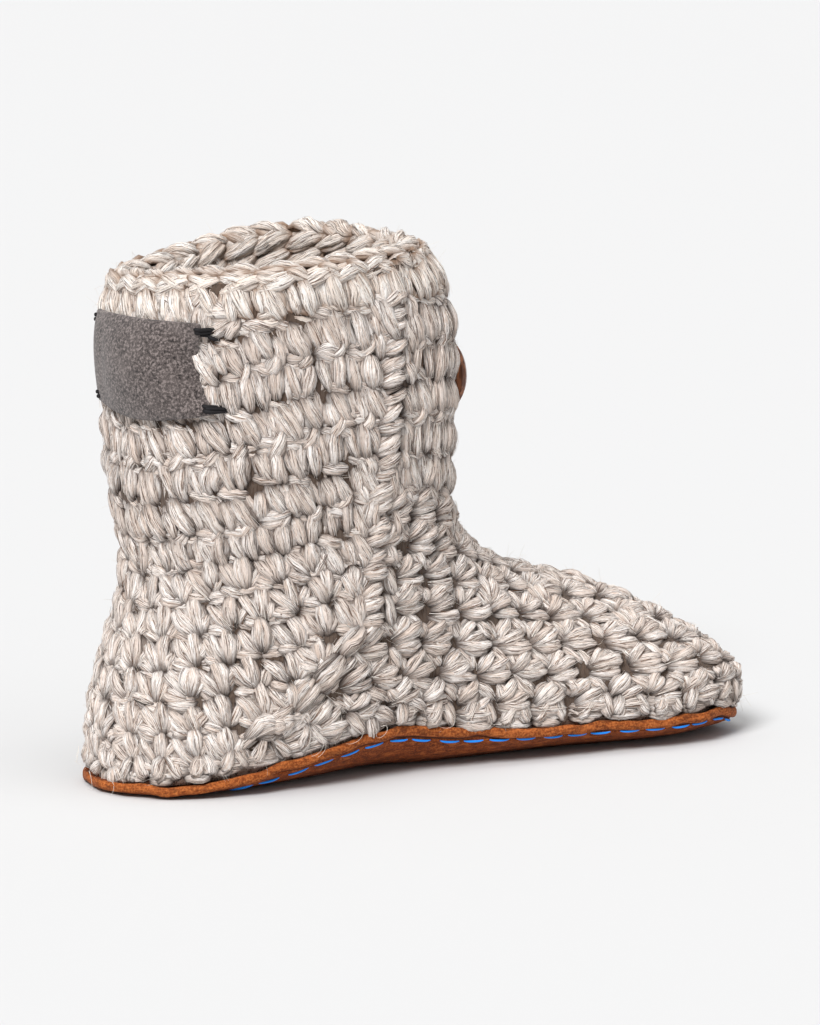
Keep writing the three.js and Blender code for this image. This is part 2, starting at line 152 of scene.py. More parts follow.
floor_mesh = bpy.data.meshes.new("floor")
floor_mesh.from_pydata(
    [(x * FLOOR_HALF, y * FLOOR_HALF, 0.0) for x, y in ((-1, -1), (1, -1), (1, 1), (-1, 1))],
    [],
    [(0, 1, 2, 3)],
)
floor = bpy.data.objects.new("floor", floor_mesh)
scene.collection.objects.link(floor)
print("camera lens", round(camera_data.lens, 1))

# %% [markdown]
# ## Shader groups
# Two effects are used on several materials, so each is a node group. Yarn reads
# the coordinates that every strand carries: two across it and one along it. Noise
# that is stretched along the strand gives the drawn-out fibres. Nap is the short
# pile of suede and felt.

# %% Shader groups


def new_group(name, inputs, outputs):
    """An empty shader group with named sockets. Each socket is (name, type, value)."""
    group = bpy.data.node_groups.new(name, "ShaderNodeTree")
    for label, kind, value in inputs:
        socket = group.interface.new_socket(label, in_out="INPUT", socket_type="NodeSocket" + kind)
        socket.default_value = value
    for label, kind in outputs:
        group.interface.new_socket(label, in_out="OUTPUT", socket_type="NodeSocket" + kind)
    return group


class Wiring:
    """Adds nodes to one tree. A keyword is an input by name: a value, or a socket to join."""

    def __init__(self, tree):
        self.tree = tree

    def node(self, kind, settings=None, **inputs):
        made = self.tree.nodes.new(kind)
        for key, value in (settings or {}).items():
            setattr(made, key, value)
        for key, value in inputs.items():
            self.join(made.inputs[key.replace("_", " ")], value)
        return made

    def join(self, socket, value):
        if isinstance(value, bpy.types.NodeSocket):
            self.tree.links.new(value, socket)
        else:
            socket.default_value = value

    def math(self, operation, *values):
        made = self.tree.nodes.new("ShaderNodeMath")
        made.operation = operation
        for socket, value in zip(made.inputs, values):
            self.join(socket, value)
        return made.outputs[0]

    def step(self, value, low, high, to_low=0.0, to_high=1.0):
        made = self.node("ShaderNodeMapRange", {"interpolation_type": "SMOOTHSTEP"})
        for key, item in zip(("Value", "From Min", "From Max", "To Min", "To Max"),
                             (value, low, high, to_low, to_high)):
            self.join(made.inputs[key], item)
        return made.outputs[0]

    def total(self, *terms):
        """The sum of sockets, each times a number."""
        scaled = [self.math("MULTIPLY", *term) for term in terms]
        found = scaled[0]
        for term in scaled[1:]:
            found = self.math("ADD", found, term)
        return found

    def mix(self, amount, first, second):
        made = self.node("ShaderNodeMix", {"data_type": "RGBA"})
        for index, value in ((0, amount), (6, first), (7, second)):
            self.join(made.inputs[index], value)
        return made.outputs[2]

    def stretch(self, vector, scale):
        made = self.node("ShaderNodeVectorMath", {"operation": "MULTIPLY"})
        self.join(made.inputs[0], vector)
        made.inputs[1].default_value = scale
        return made.outputs[0]

    def noise(self, vector, scale, detail=3.0, roughness=0.55, wavy=0.0):
        made = self.node("ShaderNodeTexNoise", Vector=vector, Scale=scale, Detail=detail)
        made.inputs["Roughness"].default_value = roughness
        made.inputs["Distortion"].default_value = wavy
        return made.outputs[0]


def linear(red, green, blue):
    """A colour as seen, 0 to 255, as a scene colour."""
    values = []
    for level in (red, green, blue):
        part = level / 255
        values.append(part / 12.92 if part <= 0.04045 else ((part + 0.055) / 1.055) ** 2.4)
    return (*values, 1.0)


def yarn_group():
    """Colour and height of wool fibres along a strand. The tone attribute is painted shade: where it
    is low, underneath a strand and where it goes in, the colour turns to the painted shade colour.
    """
    group = new_group(
        "yarn",
        [
            ("Wool", "Color", linear(250, 243, 238)),
            ("Shade", "Color", linear(213, 193, 179)),
            ("Fleck", "Color", linear(78, 54, 41)),
            ("Hollow", "Color", linear(62, 45, 36)),
            ("Fleck Share", "Float", 0.88),
        ],
        [("Color", "Color"), ("Height", "Float")],
    )
    w = Wiring(group)
    source = w.node("NodeGroupInput").outputs
    fibre = w.node("ShaderNodeAttribute", {"attribute_name": "fibre"}).outputs["Vector"]
    tone = w.node("ShaderNodeAttribute", {"attribute_name": "tone"}).outputs["Fac"]

    def along(across, length):
        return w.stretch(fibre, (across, across, length))

    coarse = w.noise(along(0.9, 0.10), 1.0, 2.0, wavy=0.5)
    fine = w.noise(along(2.4, 0.14), 1.0, 3.0, 0.6, wavy=0.6)
    hair = w.noise(along(3.2, 0.15), 1.0, 1.0, wavy=0.7)
    fuzz = w.noise(along(2.2, 1.1), 1.0, 3.0, 0.7)
    light = w.total((coarse, 0.4), (fine, 0.6), (fuzz, 0.45))
    colour = w.mix(w.step(light, 0.60, 0.80), source["Shade"], source["Wool"])
    ply = w.noise(along(0.02, 0.02), 1.0, 1.0)
    colour = w.mix(w.step(ply, 0.45, 0.62, 0.0, 0.55), colour, source["Shade"])
    dark = w.math("MULTIPLY", w.step(hair, 0.55, 0.63), source["Fleck Share"])
    colour = w.mix(dark, colour, source["Fleck"])
    # Painted shade: where the tone is low, the colour turns to the painted shade colour
    colour = w.mix(w.step(tone, 0.02, 0.86), source["Hollow"], colour)
    height = w.total((fine, 0.9), (hair, -0.7), (fuzz, 0.8))
    w.node("NodeGroupOutput", Color=colour, Height=height)
    return group


def nap_group():
    """Colour and height of short pile: heathered specks and lighter brushed patches."""
    group = new_group(
        "nap",
        [
            ("Base", "Color", linear(98, 90, 90)),
            ("Light", "Color", linear(150, 142, 142)),
            ("Dark", "Color", linear(60, 54, 54)),
            ("Speck Size", "Float", 900.0),
            ("Patch Size", "Float", 60.0),
        ],
        [("Color", "Color"), ("Height", "Float")],
    )
    w = Wiring(group)
    source = w.node("NodeGroupInput").outputs
    place = w.node("ShaderNodeTexCoord").outputs["Object"]
    speck = w.noise(place, source["Speck Size"], 3.0, 0.7)
    patch = w.noise(place, source["Patch Size"], 4.0, 0.6)
    colour = w.mix(w.step(speck, 0.50, 0.62), source["Base"], source["Light"])
    colour = w.mix(w.step(speck, 0.47, 0.37), colour, source["Dark"])
    colour = w.mix(w.step(patch, 0.42, 0.70, 0.0, 0.25), colour, source["Light"])
    height = w.total((speck, 1.0), (patch, 0.5))
    w.node("NodeGroupOutput", Color=colour, Height=height)
    return group


YARN = yarn_group()
NAP = nap_group()
print("groups", YARN.name, NAP.name)

# %% [markdown]
# ## Materials
# Wool, suede and felt scatter light and have almost no gloss, so they are rough with
# a little sheen. The bump height comes from the groups, in real millimetres.

# %% Materials
PILE_GLOSS, THREAD_GLOSS, WOOD_GLOSS = 0.15, 0.25, 0.5
SHEEN_ROUGHNESS = 0.6


def blank(name, roughness, gloss):
    """A new material without colour, and its surface."""
    made = bpy.data.materials.new(name)
    made.use_nodes = True
    surface = made.node_tree.nodes["Principled BSDF"]
    surface.inputs["Roughness"].default_value = roughness
    surface.inputs["Specular IOR Level"].default_value = gloss
    return made, surface


def material(name, group, roughness, bump, depth, sheen, **values):
    """A material whose colour and bump come from one group. The depth of the bump is in mm."""
    made, surface = blank(name, roughness, PILE_GLOSS)
    w = Wiring(made.node_tree)
    effect = w.node("ShaderNodeGroup", {"node_tree": group})
    for key, value in values.items():
        effect.inputs[key.replace("_", " ")].default_value = value
    relief = w.node("ShaderNodeBump", Strength=bump, Distance=depth * MM)
    w.join(relief.inputs["Height"], effect.outputs["Height"])
    w.join(surface.inputs["Base Color"], effect.outputs["Color"])
    w.join(surface.inputs["Normal"], relief.outputs["Normal"])
    surface.inputs["Sheen Weight"].default_value = sheen
    surface.inputs["Sheen Roughness"].default_value = SHEEN_ROUGHNESS
    return made


def plain(name, colour, roughness):
    """A material of one colour, for thread, hairs and the floor."""
    made, surface = blank(name, roughness, THREAD_GLOSS)
    surface.inputs["Base Color"].default_value = colour
    return made


WOOL = material("wool", YARN, 0.95, 1.0, 0.6, 0.1)
# A darker copy of the wool: painted shade for the wall seen between the leaves
WOOL_SHADED = material(
    "wool_painted_shade", YARN, 0.95, 1.0, 1.2, 0.1,
    Wool=linear(232, 216, 201), Shade=linear(186, 166, 150), Fleck=linear(104, 80, 62),
    Hollow=linear(76, 59, 48),
)
# A lighter copy of the wool with lighter painted shade: painted light on the collar, the top row and
# the lining inside the shaft
WOOL_LIT = material(
    "wool_painted_light", YARN, 0.95, 1.0, 0.6, 0.1,
    Wool=linear(255, 250, 245), Shade=linear(230, 213, 199), Hollow=linear(156, 127, 106),
)
floor.data.materials.append(plain("floor", FLOOR_GREY, 0.9))
print("materials", len(bpy.data.materials))

# %% [markdown]
# ## The wool wall as a smooth skin
# The solid upper has its rows as beads. The outer and the inner side are taken from
# it as two open skins and smoothed until the beads are gone. The stitches are laid on
# these skins, so their crests reach the height that the beads had. Round the button,
# which is sewn on tight, the wool is drawn in a little.

# %% Skins
SMOOTHING = 12
STEP_IN, STEP_OUT = 0.5, -0.52
RIM_HEIGHT, RIM_FACING = 0.165, 0.75
FOOT_HEIGHT, FOOT_FACING = 0.02, -0.5
SOLE_BELOW, RIM_ABOVE = 0.05, 0.15
OFF_FACE, LOOK_AHEAD = 1e-4, 0.4
PRESS = 1.8 * MM
PRESS_RING = (9 * MM, 15 * MM, 30 * MM, 52 * MM)
PRESS_FRONT = (-26 * MM, -4 * MM)


class Skin:
    """Points, triangles and a search tree of a smooth surface."""

    def __init__(self, bm):
        bmesh.ops.triangulate(bm, faces=bm.faces)
        bm.normal_update()
        bm.verts.index_update()
        self.points = np.array([v.co[:] for v in bm.verts])
        self.triangles = np.array([[v.index for v in f.verts] for f in bm.faces])
        self.tree = BVHTree.FromBMesh(bm)
        self.edge = np.array([v.co[:] for v in bm.verts if v.is_boundary])

    def on(self, places):
        """The nearest points on the skin, and the normals there."""
        found = [self.tree.find_nearest(Vector(place)) for place in places]
        return (np.array([hit[0][:] for hit in found]), np.array([hit[1][:] for hit in found]))


def welded(node):
    """The mesh of a CAD node with its corners joined."""
    bm = bmesh.new()
    bm.from_mesh(frame["nodes"][node].data)
    bmesh.ops.remove_doubles(bm, verts=bm.verts, dist=1e-6)
    bm.normal_update()
    return bm


def smoothed(bm, rounds):
    """Halves every edge, then evens out the beads. Each step in is followed by one out,
    so that the large form keeps its size."""
    bmesh.ops.subdivide_edges(bm, edges=bm.edges, cuts=1, use_grid_fill=True)
    bmesh.ops.triangulate(bm, faces=bm.faces)
    bm.verts.index_update()
    pairs = np.array([[v.index for v in edge.verts] for edge in bm.edges])
    places = np.array([v.co[:] for v in bm.verts])
    held = np.array([v.is_boundary for v in bm.verts])
    ends = np.concatenate([pairs[:, 0], pairs[:, 1]])
    others = np.concatenate([pairs[:, 1], pairs[:, 0]])
    number = np.bincount(ends, minlength=len(places))[:, None]
    for _ in range(rounds):
        for share in (STEP_IN, STEP_OUT):
            total = np.stack([np.bincount(ends, places[others, i], len(places)) for i in range(3)], 1)
            places = np.where(held[:, None], places, places + share * (total / number - places))
    for vertex, place in zip(bm.verts, places):
        vertex.co = place
    return bm


def keep_largest(bm):
    """Leaves only the largest connected patch of faces."""
    left = set(bm.faces)
    patches = []
    while left:
        patch, front = set(), [left.pop()]
        while front:
            face = front.pop()
            patch.add(face)
            beside = {other for edge in face.edges for other in edge.link_faces} & left
            left -= beside
            front.extend(beside)
        patches.append(patch)
    patches.sort(key=len)
    drop = [face for patch in patches[:-1] for face in patch]
    bmesh.ops.delete(bm, geom=drop, context="FACES")


def wall_side(inside):
    """The outer or the inner side of the upper, without its rim and its foot."""
    bm = welded("upper")
    tree = BVHTree.FromBMesh(bm)
    drop = []
    for face in bm.faces:
        middle = face.calc_center_median()
        hit = tree.ray_cast(middle + face.normal * OFF_FACE, face.normal, LOOK_AHEAD)[0]
        rim = middle.z > RIM_HEIGHT and face.normal.z > RIM_FACING
        foot = middle.z < FOOT_HEIGHT and face.normal.z < FOOT_FACING
        if rim or foot or (hit is not None) != inside:
            drop.append(face)
    bmesh.ops.delete(bm, geom=drop, context="FACES")
    keep_largest(bm)
    return Skin(smoothed(bm, SMOOTHING))


def near(points):
    """A function that gives how far each place is from a set of points."""
    tree = KDTree(len(points))
    for index, point in enumerate(points):
        tree.insert(point, index)
    tree.balance()
    return lambda places: np.array([tree.find(place)[2] for place in places])


def pressed(places):
    """How far the wool is drawn in at places, in a ring round the button."""
    apart = np.hypot(*np.moveaxis(places - BUTTON_MIDDLE, -1, 0)[1:])
    ring = np.interp(apart, PRESS_RING, (0, 1, 1, 0))
    return PRESS * ring * np.interp(places[..., 0], PRESS_FRONT, (0, 1))


BUTTON_MIDDLE = np.array([corner[:] for corner in frame["nodes"]["button"].bound_box]).mean(0)
outer = wall_side(False)
inner = wall_side(True)
from_sole = near(outer.edge[outer.edge[:, 2] < SOLE_BELOW])
from_rim = near(outer.edge[outer.edge[:, 2] > RIM_ABOVE])
from_inner_rim = near(inner.edge[inner.edge[:, 2] > RIM_ABOVE])
print("skins", len(outer.triangles), len(inner.triangles), "button", np.round(BUTTON_MIDDLE / MM, 1))

# %% [markdown]
# ## Strands
# Every part of a stitch that shows is a short length of the yarn: it comes up out of
# the wall, swells, and dives back in, like a leaf. One smooth tube would look like a
# seed, so a leaf is a bundle of a few thin tubes, the loose plies of the yarn. Each
# carries a tone that paints shade: full on its crest, low underneath and where it
# dives in. Whole arrays of strands are made at once and joined, which keeps the
# objects few.

# %% Strands
STEPS = 7
SIDES = 5
PLIES, FEW_PLIES = 4, 2
FLATNESS = 0.85
WAVER = 0.13
RIDGES = 0.08
TWIST = 0.06
SINK = 2.6 * MM
# Painted shade on each tube: the tone on its crest, and how far it falls to its underside
CREST_TONE, TONE_FALL = 0.70, 0.44
START_SPREAD, END_SPREAD = 0.15, 0.50
# Plies: sideways and height in shares of the strand's half width
PLY_STRAY, END_STRAY, ROUND_END = 0.10, 0.05, 0.12
CROWN, CROWN_FALL, CROWN_STRAY = 0.18, 0.50, 0.08
PLY_APART, PLY_SHADE = 0.74, 0.35
PLY_THICK, PLY_TAPER = 0.3, 0.30
PLY_TURNS, PLY_SIZES, PLY_TONES = (0.6, 1.6), (0.85, 1.15), (0.85, 1.1)
# Loose fibres: where they start and end along a strand, and how they lie on it
FIBRE_STEPS = 4
FIBRE_SPACE = 900
FIBRE_START, FIBRE_END = (0.0, 0.35), (0.65, 1.0)
FIBRE_APART, FIBRE_DRIFT = 0.8, 0.35
FIBRE_CROWN, FIBRE_FALL = 0.66, 0.56
FIBRE_FREE, FREE_FROM = (1.2, 0.5), 0.3
LOOSE_PALE, LOOSE_DARK = [], []
LOOSE_EACH = (LOOSE_PALE, LOOSE_PALE, LOOSE_PALE, LOOSE_DARK)


def unit(vectors):
    """Vectors of length one, along the last axis."""
    return vectors / np.maximum(np.linalg.norm(vectors, axis=-1, keepdims=True), 1e-12)


def tube_faces(count, steps, sides):
    """Four-sided faces of many tubes, whose points run round, then along, then by tube."""
    ring = np.arange(sides)
    ahead = np.roll(ring, -1)
    start = np.arange(steps - 1)[:, None] * sides
    one = np.stack([start + ring, start + ahead, start + sides + ahead, start + sides + ring], -1)
    first = np.arange(count)[:, None, None, None] * steps * sides
    return (one[None] + first).reshape(-1, 4)


def tubes(path, normal, radius, flatness=FLATNESS, ridges=RIDGES, sides=SIDES, lit=1.0):
    """Tubes along paths (count, steps, 3). Returns points, faces, fibre places and tones.

    The tone is painted shade: it falls from the crest of a tube to its underside, and with lit along
    it."""
    count, steps = path.shape[:2]
    ahead = unit(np.gradient(path, axis=1))
    side = unit(np.cross(normal, ahead))
    up = np.cross(ahead, side)
    turn = np.linspace(0, 2 * np.pi, sides, endpoint=False)
    length = np.linalg.norm(np.diff(path, axis=1), axis=2).cumsum(1) / MM
    length = np.concatenate([np.zeros((count, 1)), length], 1)
    rolled = turn + TWIST * length[:, :, None]
    uneven = 1 + ridges * draw.standard_normal((count, 1, sides))
    reach = radius[:, :, None] * uneven
    points = (
        path[:, :, None]
        + side[:, :, None] * (np.cos(rolled) * reach)[..., None]
        + up[:, :, None] * (np.sin(rolled) * reach * flatness)[..., None]
    )
    widest = radius.max(1)[:, None, None] / MM
    places = (np.cos(turn) * widest, np.sin(turn) * widest, length[:, :, None])
    fibre = np.stack([place + 0 * rolled for place in places], -1)
    fibre += draw.uniform(0, FIBRE_SPACE, (count, 1, 1, 3))
    # Painted shade: full tone on the crest, low on the underside
    crest = np.clip(CREST_TONE + TONE_FALL * np.sin(rolled), 0, 1)
    tone = crest * (lit * np.ones((count, steps)))[..., None]
    return points.reshape(-1, 3), tube_faces(count, steps, sides), fibre.reshape(-1, 3), tone.ravel()


def joined(parts):
    """Several sets of tubes as one."""
    shift = np.cumsum([0] + [len(part[0]) for part in parts[:-1]])
    faces = [part[1] + move for part, move in zip(parts, shift)]
    rest = [np.concatenate([part[i] for part in parts]) for i in (0, 2, 3)]
    return rest[0], np.concatenate(faces), rest[1], rest[2]


def piece(name, parts, look, slot, *nodes):
    """One object from points, faces, fibre places and tones, with the nodes it replaces."""
    points, faces, fibre, tone = parts
    points[:, 2] = np.maximum(points[:, 2], 0)
    mesh = bpy.data.meshes.new(name)
    mesh.vertices.add(len(points))
    mesh.vertices.foreach_set("co", points.astype(np.float32).ravel())
    mesh.loops.add(faces.size)
    mesh.loops.foreach_set("vertex_index", faces.astype(np.int32).ravel())
    mesh.polygons.add(len(faces))
    starts = np.arange(0, faces.size, faces.shape[1], dtype=np.int32)
    mesh.polygons.foreach_set("loop_start", starts)
    mesh.update(calc_edges=True)
    mesh.shade_smooth()
    for label, kind, values in (("fibre", "FLOAT_VECTOR", fibre), ("tone", "FLOAT", tone)):
        layer = mesh.attributes.new(label, kind, "POINT")
        key = "vector" if kind == "FLOAT_VECTOR" else "value"
        layer.data.foreach_set(key, np.asarray(values, np.float32).ravel())
    mesh.materials.append(look)
    made = bpy.data.objects.new(name, mesh)
    scene.collection.objects.link(made)
    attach(made, "root")
    if nodes:
        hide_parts(*nodes)
    print(name, len(faces) * (faces.shape[1] - 2), "triangles")


def between(values, at):
    """Values (count, steps, 3) read at places between the steps."""
    first = np.clip(at.astype(int), 0, values.shape[1] - 2)
    part = (at - first)[..., None]
    strand = np.arange(len(values))[:, None]
    return values[strand, first] * (1 - part) + values[strand, first + 1] * part


def plied(path, normal, width, swell, spread, plies=PLIES):
    """Strands of loose plies along paths. The outer plies are shorter, so the ends are round."""
    count, steps = path.shape[:2]
    side = unit(np.cross(normal, np.gradient(path, axis=1)))
    share = np.linspace(0, 1, steps)
    parts = []
    for middle in np.linspace(-1, 1, plies) * min(1, plies / 4 + 0.1):
        place = middle + draw.normal(0, PLY_STRAY, (count, 1))
        begin = np.abs(draw.normal(0, END_STRAY, (count, 1)))
        short = np.abs(draw.normal(0, END_STRAY, (count, 1)))
        end = 1 - ROUND_END * np.minimum(place ** 2, 1.2) - short
        at = (begin + (end - begin) * share) * (steps - 1)
        turns = share * draw.uniform(*PLY_TURNS, (count, 1))
        bend = np.sin(2 * np.pi * (turns + draw.random((count, 1))))
        crown = CROWN - CROWN_FALL * place ** 2 + draw.normal(0, CROWN_STRAY, (count, 1))
        above = width[:, None] * crown * swell
        aside = width[:, None] * (PLY_APART * place + WAVER * bend) * spread
        up = between(normal, at)
        ply = between(path, at) + between(side, at) * aside[..., None] + up * above[..., None]
        thick = width[:, None] * (PLY_THICK + 1.0 / plies) * draw.uniform(*PLY_SIZES, (count, 1))
        # Painted shade: lower where the strand dives in and on its outer plies, times a random tone
        # for each ply
        lit = swell ** 1.5 * (1 - PLY_SHADE * place ** 2) * draw.uniform(*PLY_TONES, (count, 1))
        radius = thick * (PLY_TAPER + (1 - PLY_TAPER) * swell)
        parts.append(tubes(ply, up, radius, lit=lit))
    for store in LOOSE_EACH if plies == PLIES else ():
        store.append(loose_fibres(path, normal, side, width, swell, spread))
    return joined(parts)


def loose_fibres(path, normal, side, width, swell, spread):
    """One fibre on each strand that has come free of the twist and lifts at its end."""
    count, steps = path.shape[:2]
    run = np.linspace(0, 1, FIBRE_STEPS)
    begin, end = (draw.uniform(*share, (count, 1)) for share in (FIBRE_START, FIBRE_END))
    at = (begin + (end - begin) * run) * (steps - 1)
    swelling, apart = (np.interp(at, np.arange(steps), values) for values in (swell, spread))
    place = draw.uniform(-1, 1, (count, 1)) + draw.normal(0, FIBRE_DRIFT, (count, 1)) * (run - 0.5)
    aside = width[:, None] * FIBRE_APART * place * apart
    above = width[:, None] * (FIBRE_CROWN - FIBRE_FALL * place ** 2) * swelling
    free = draw.gamma(*FIBRE_FREE, (count, 1)) * MM * (run - FREE_FROM) ** 2
    lifted = between(normal, at) * (above + free)[..., None]
    return between(path, at) + between(side, at) * aside[..., None] + lifted


def leaf_shape(belly):
    """Steps along a leaf, its swelling and the spread of its plies. It is widest at the belly."""
    share = np.linspace(0, 1, STEPS)
    swell = np.sin(np.pi * share ** (math.log(0.5) / math.log(belly))) ** 0.5
    swell = np.clip(np.nan_to_num(swell), 0, 1)
    least = np.where(share < belly, START_SPREAD, END_SPREAD)
    spread = least + (1 - least) * swell
    return share, swell, spread


def leaves(skin, start, end, bow, width, lift, belly=0.5, fall=0.0, plies=PLIES):
    """Leaf-shaped strands on a skin from starts to ends, bent sideways by bow."""
    share, swell, spread = leaf_shape(belly)
    raw = start[:, None] + (end - start)[:, None] * share[None, :, None]
    raw = raw + bow[:, None] * (4 * share * (1 - share))[None, :, None]
    spot, normal = skin.on(raw.reshape(-1, 3))
    normal = unit(normal.reshape(raw.shape))
    height = lift[:, None] * swell - SINK * (1 - swell)
    if skin is outer:
        height = height - pressed(raw)
    path = spot.reshape(raw.shape) + normal * height[..., None] - np.array((0, 0, fall))
    return plied(path, normal, width, swell, spread, plies)


print("strands of", PLIES, "or", FEW_PLIES, "plies")

# %% [markdown]
# ## Rows
# A crocheted boot grows from its sole edge, each row on the one before it. So a row
# is the line at one distance from the lower edge of the wall: level round the heel and
# the shaft, and a horseshoe round the toe. The lines are cut out of the outer skin
# and divided evenly into stitches.

# %% Rows
LOW_ROW, HIGH_ROW = 11.1 * MM, 13.4 * MM
LOW_ROWS = 7
STITCH, FOOT_STITCH = 11.8 * MM, 15.5 * MM
FOOT_TOP = 96 * MM
MOST_ROWS = 20
SHORTEST_LINE = 8
LOOK = 2 * MM
ROW_PARTS = ("row", "place", "across", "rise", "facing")
# The side seam, as places along the boot from the heel and up from the floor, in mm
SEAM = ((18, 0), (82, 56), (88, 120), (90, 186))


def seam_at(heights):
    """How far the side seam is from the heel at heights."""
    along, up = (np.array(values) * MM for values in zip(*SEAM))
    return np.interp(heights, up, along)


def behind_seam(places):
    """True where a place is on the heel piece."""
    return places[:, 0] - HEEL_X < seam_at(places[:, 2])


def stitch_width(places):
    """The width of a stitch: the foot is worked more loosely than the rest."""
    foot = ~behind_seam(places) & (places[:, 2] < FOOT_TOP)
    return np.where(foot, FOOT_STITCH, STITCH)


def row_level(row):
    """How far the middle of a row is from the sole edge, and how tall the row is."""
    low = LOW_ROWS * LOW_ROW
    if row < LOW_ROWS:
        return (row + 0.5) * LOW_ROW, LOW_ROW
    return low + (row - LOW_ROWS + 0.5) * HIGH_ROW, HIGH_ROW


def level_lines(skin, field, level):
    """The lines on a skin where the field has a level, each an array of points."""
    above = field[skin.triangles] > level
    cut = skin.triangles[above.any(1) & ~above.all(1)]
    place, links = {}, {}
    for triangle in cut:
        ends = []
        for first, second in ((0, 1), (1, 2), (2, 0)):
            a, b = sorted((int(triangle[first]), int(triangle[second])))
            if (field[a] > level) == (field[b] > level):
                continue
            share = (level - field[a]) / (field[b] - field[a])
            place[a, b] = skin.points[a] + (skin.points[b] - skin.points[a]) * share
            ends.append((a, b))
        links.setdefault(ends[0], []).append(ends[1])
        links.setdefault(ends[1], []).append(ends[0])
    lines, seen = [], set()
    for key in sorted(links, key=lambda item: len(links[item])):
        line = []
        while key is not None and key not in seen:
            seen.add(key)
            line.append(place[key])
            key = next((other for other in links[key] if other not in seen), None)
        if len(line) > SHORTEST_LINE:
            lines.append(np.array(line))
    return lines


def divided(line, phase):
    """Stitch places along a closed line, the direction of the line and the stitch width."""
    line = np.vstack([line, line[:1]])
    for _ in range(3):
        line[1:-1] = (line[:-2] + 2 * line[1:-1] + line[2:]) / 4
    steps = np.linalg.norm(np.diff(line, axis=0), axis=1)
    run = np.concatenate([[0], steps.cumsum()])
    stitches = np.concatenate([[0], (steps / stitch_width(line[:-1])).cumsum()])
    count = max(3, round(stitches[-1]))
    at = np.interp((np.arange(count) + phase) / count * stitches[-1], stitches, run)
    place, back, fore = (
        np.stack([np.interp((at + step) % run[-1], run, line[:, i]) for i in range(3)], 1)
        for step in (0, -LOOK, LOOK)
    )
    return place, unit(fore - back), stitch_width(place) * stitches[-1] / count


def worked(skin, field, levels):
    """The stitches of rows at levels (level, height) of a field: arrays by name."""
    found = []
    for number, (level, tall) in enumerate(levels):
        for line in level_lines(skin, field, level):
            places, direction, wide = divided(line, 0.5 * (number % 2) + 0.1 * math.sin(number * 2.4))
            places, normal = skin.on(places)
            rise = np.cross(normal, direction)
            rise *= np.sign(rise[:, 2:])
            rise = unit(rise - normal * (rise * normal).sum(1, keepdims=True))
            beside = np.cross(rise, normal) * wide[:, None]
            found.append((np.full(len(places), number), places, beside, rise * tall, normal))
    return dict(zip(ROW_PARTS, (np.concatenate(part) for part in zip(*found))))


height_field = from_sole(outer.points)
LEVELS = [row_level(row) for row in range(MOST_ROWS) if row_level(row)[0] < height_field.max()]
outside = worked(outer, height_field, LEVELS)
print("stitches", len(outside["row"]), "in", len(LEVELS), "rows")

# %% [markdown]
# ## Stitches
# Three fabrics meet on this boot. The heel piece has fans of leaves that rise from a
# dark hole. The shaft has rows of fat upright lobes by turns with rows of long leaning
# ones. The foot has the same fans, turned so that they open towards the toe. Each is
# a short chart of leaves: where one starts and ends, in shares of the stitch and the
# row, then its half width, bend and lift in mm and where it is widest. Leaves with a
# low lift only fill the gaps. Places that no row reaches get a stitch of their own. The
# top row, the hem over the leather and the lining of the shaft follow charts too.

# %% Stitches
SEAM_CLEAR = 3.2 * MM
RIM_CLEAR, TOP_ROW = 14 * MM, 8.8 * MM
HEEL_TOP = 82 * MM
HEM_ROW, HEM_FALL = (2.5 * MM, 8 * MM), 2.2 * MM
LINING_ROWS = [((10 + 13 * row) * MM, 13 * MM) for row in range(6)]
GAP = 9.0 * MM
CREST = -0.9 * MM
LOW_LIFT = -1.0
SWAY, JITTER = 0.045, 0.07
BOWS, WIDTHS, LIFT_STRAY = (0.5, 1.5), (0.80, 1.20), 0.25

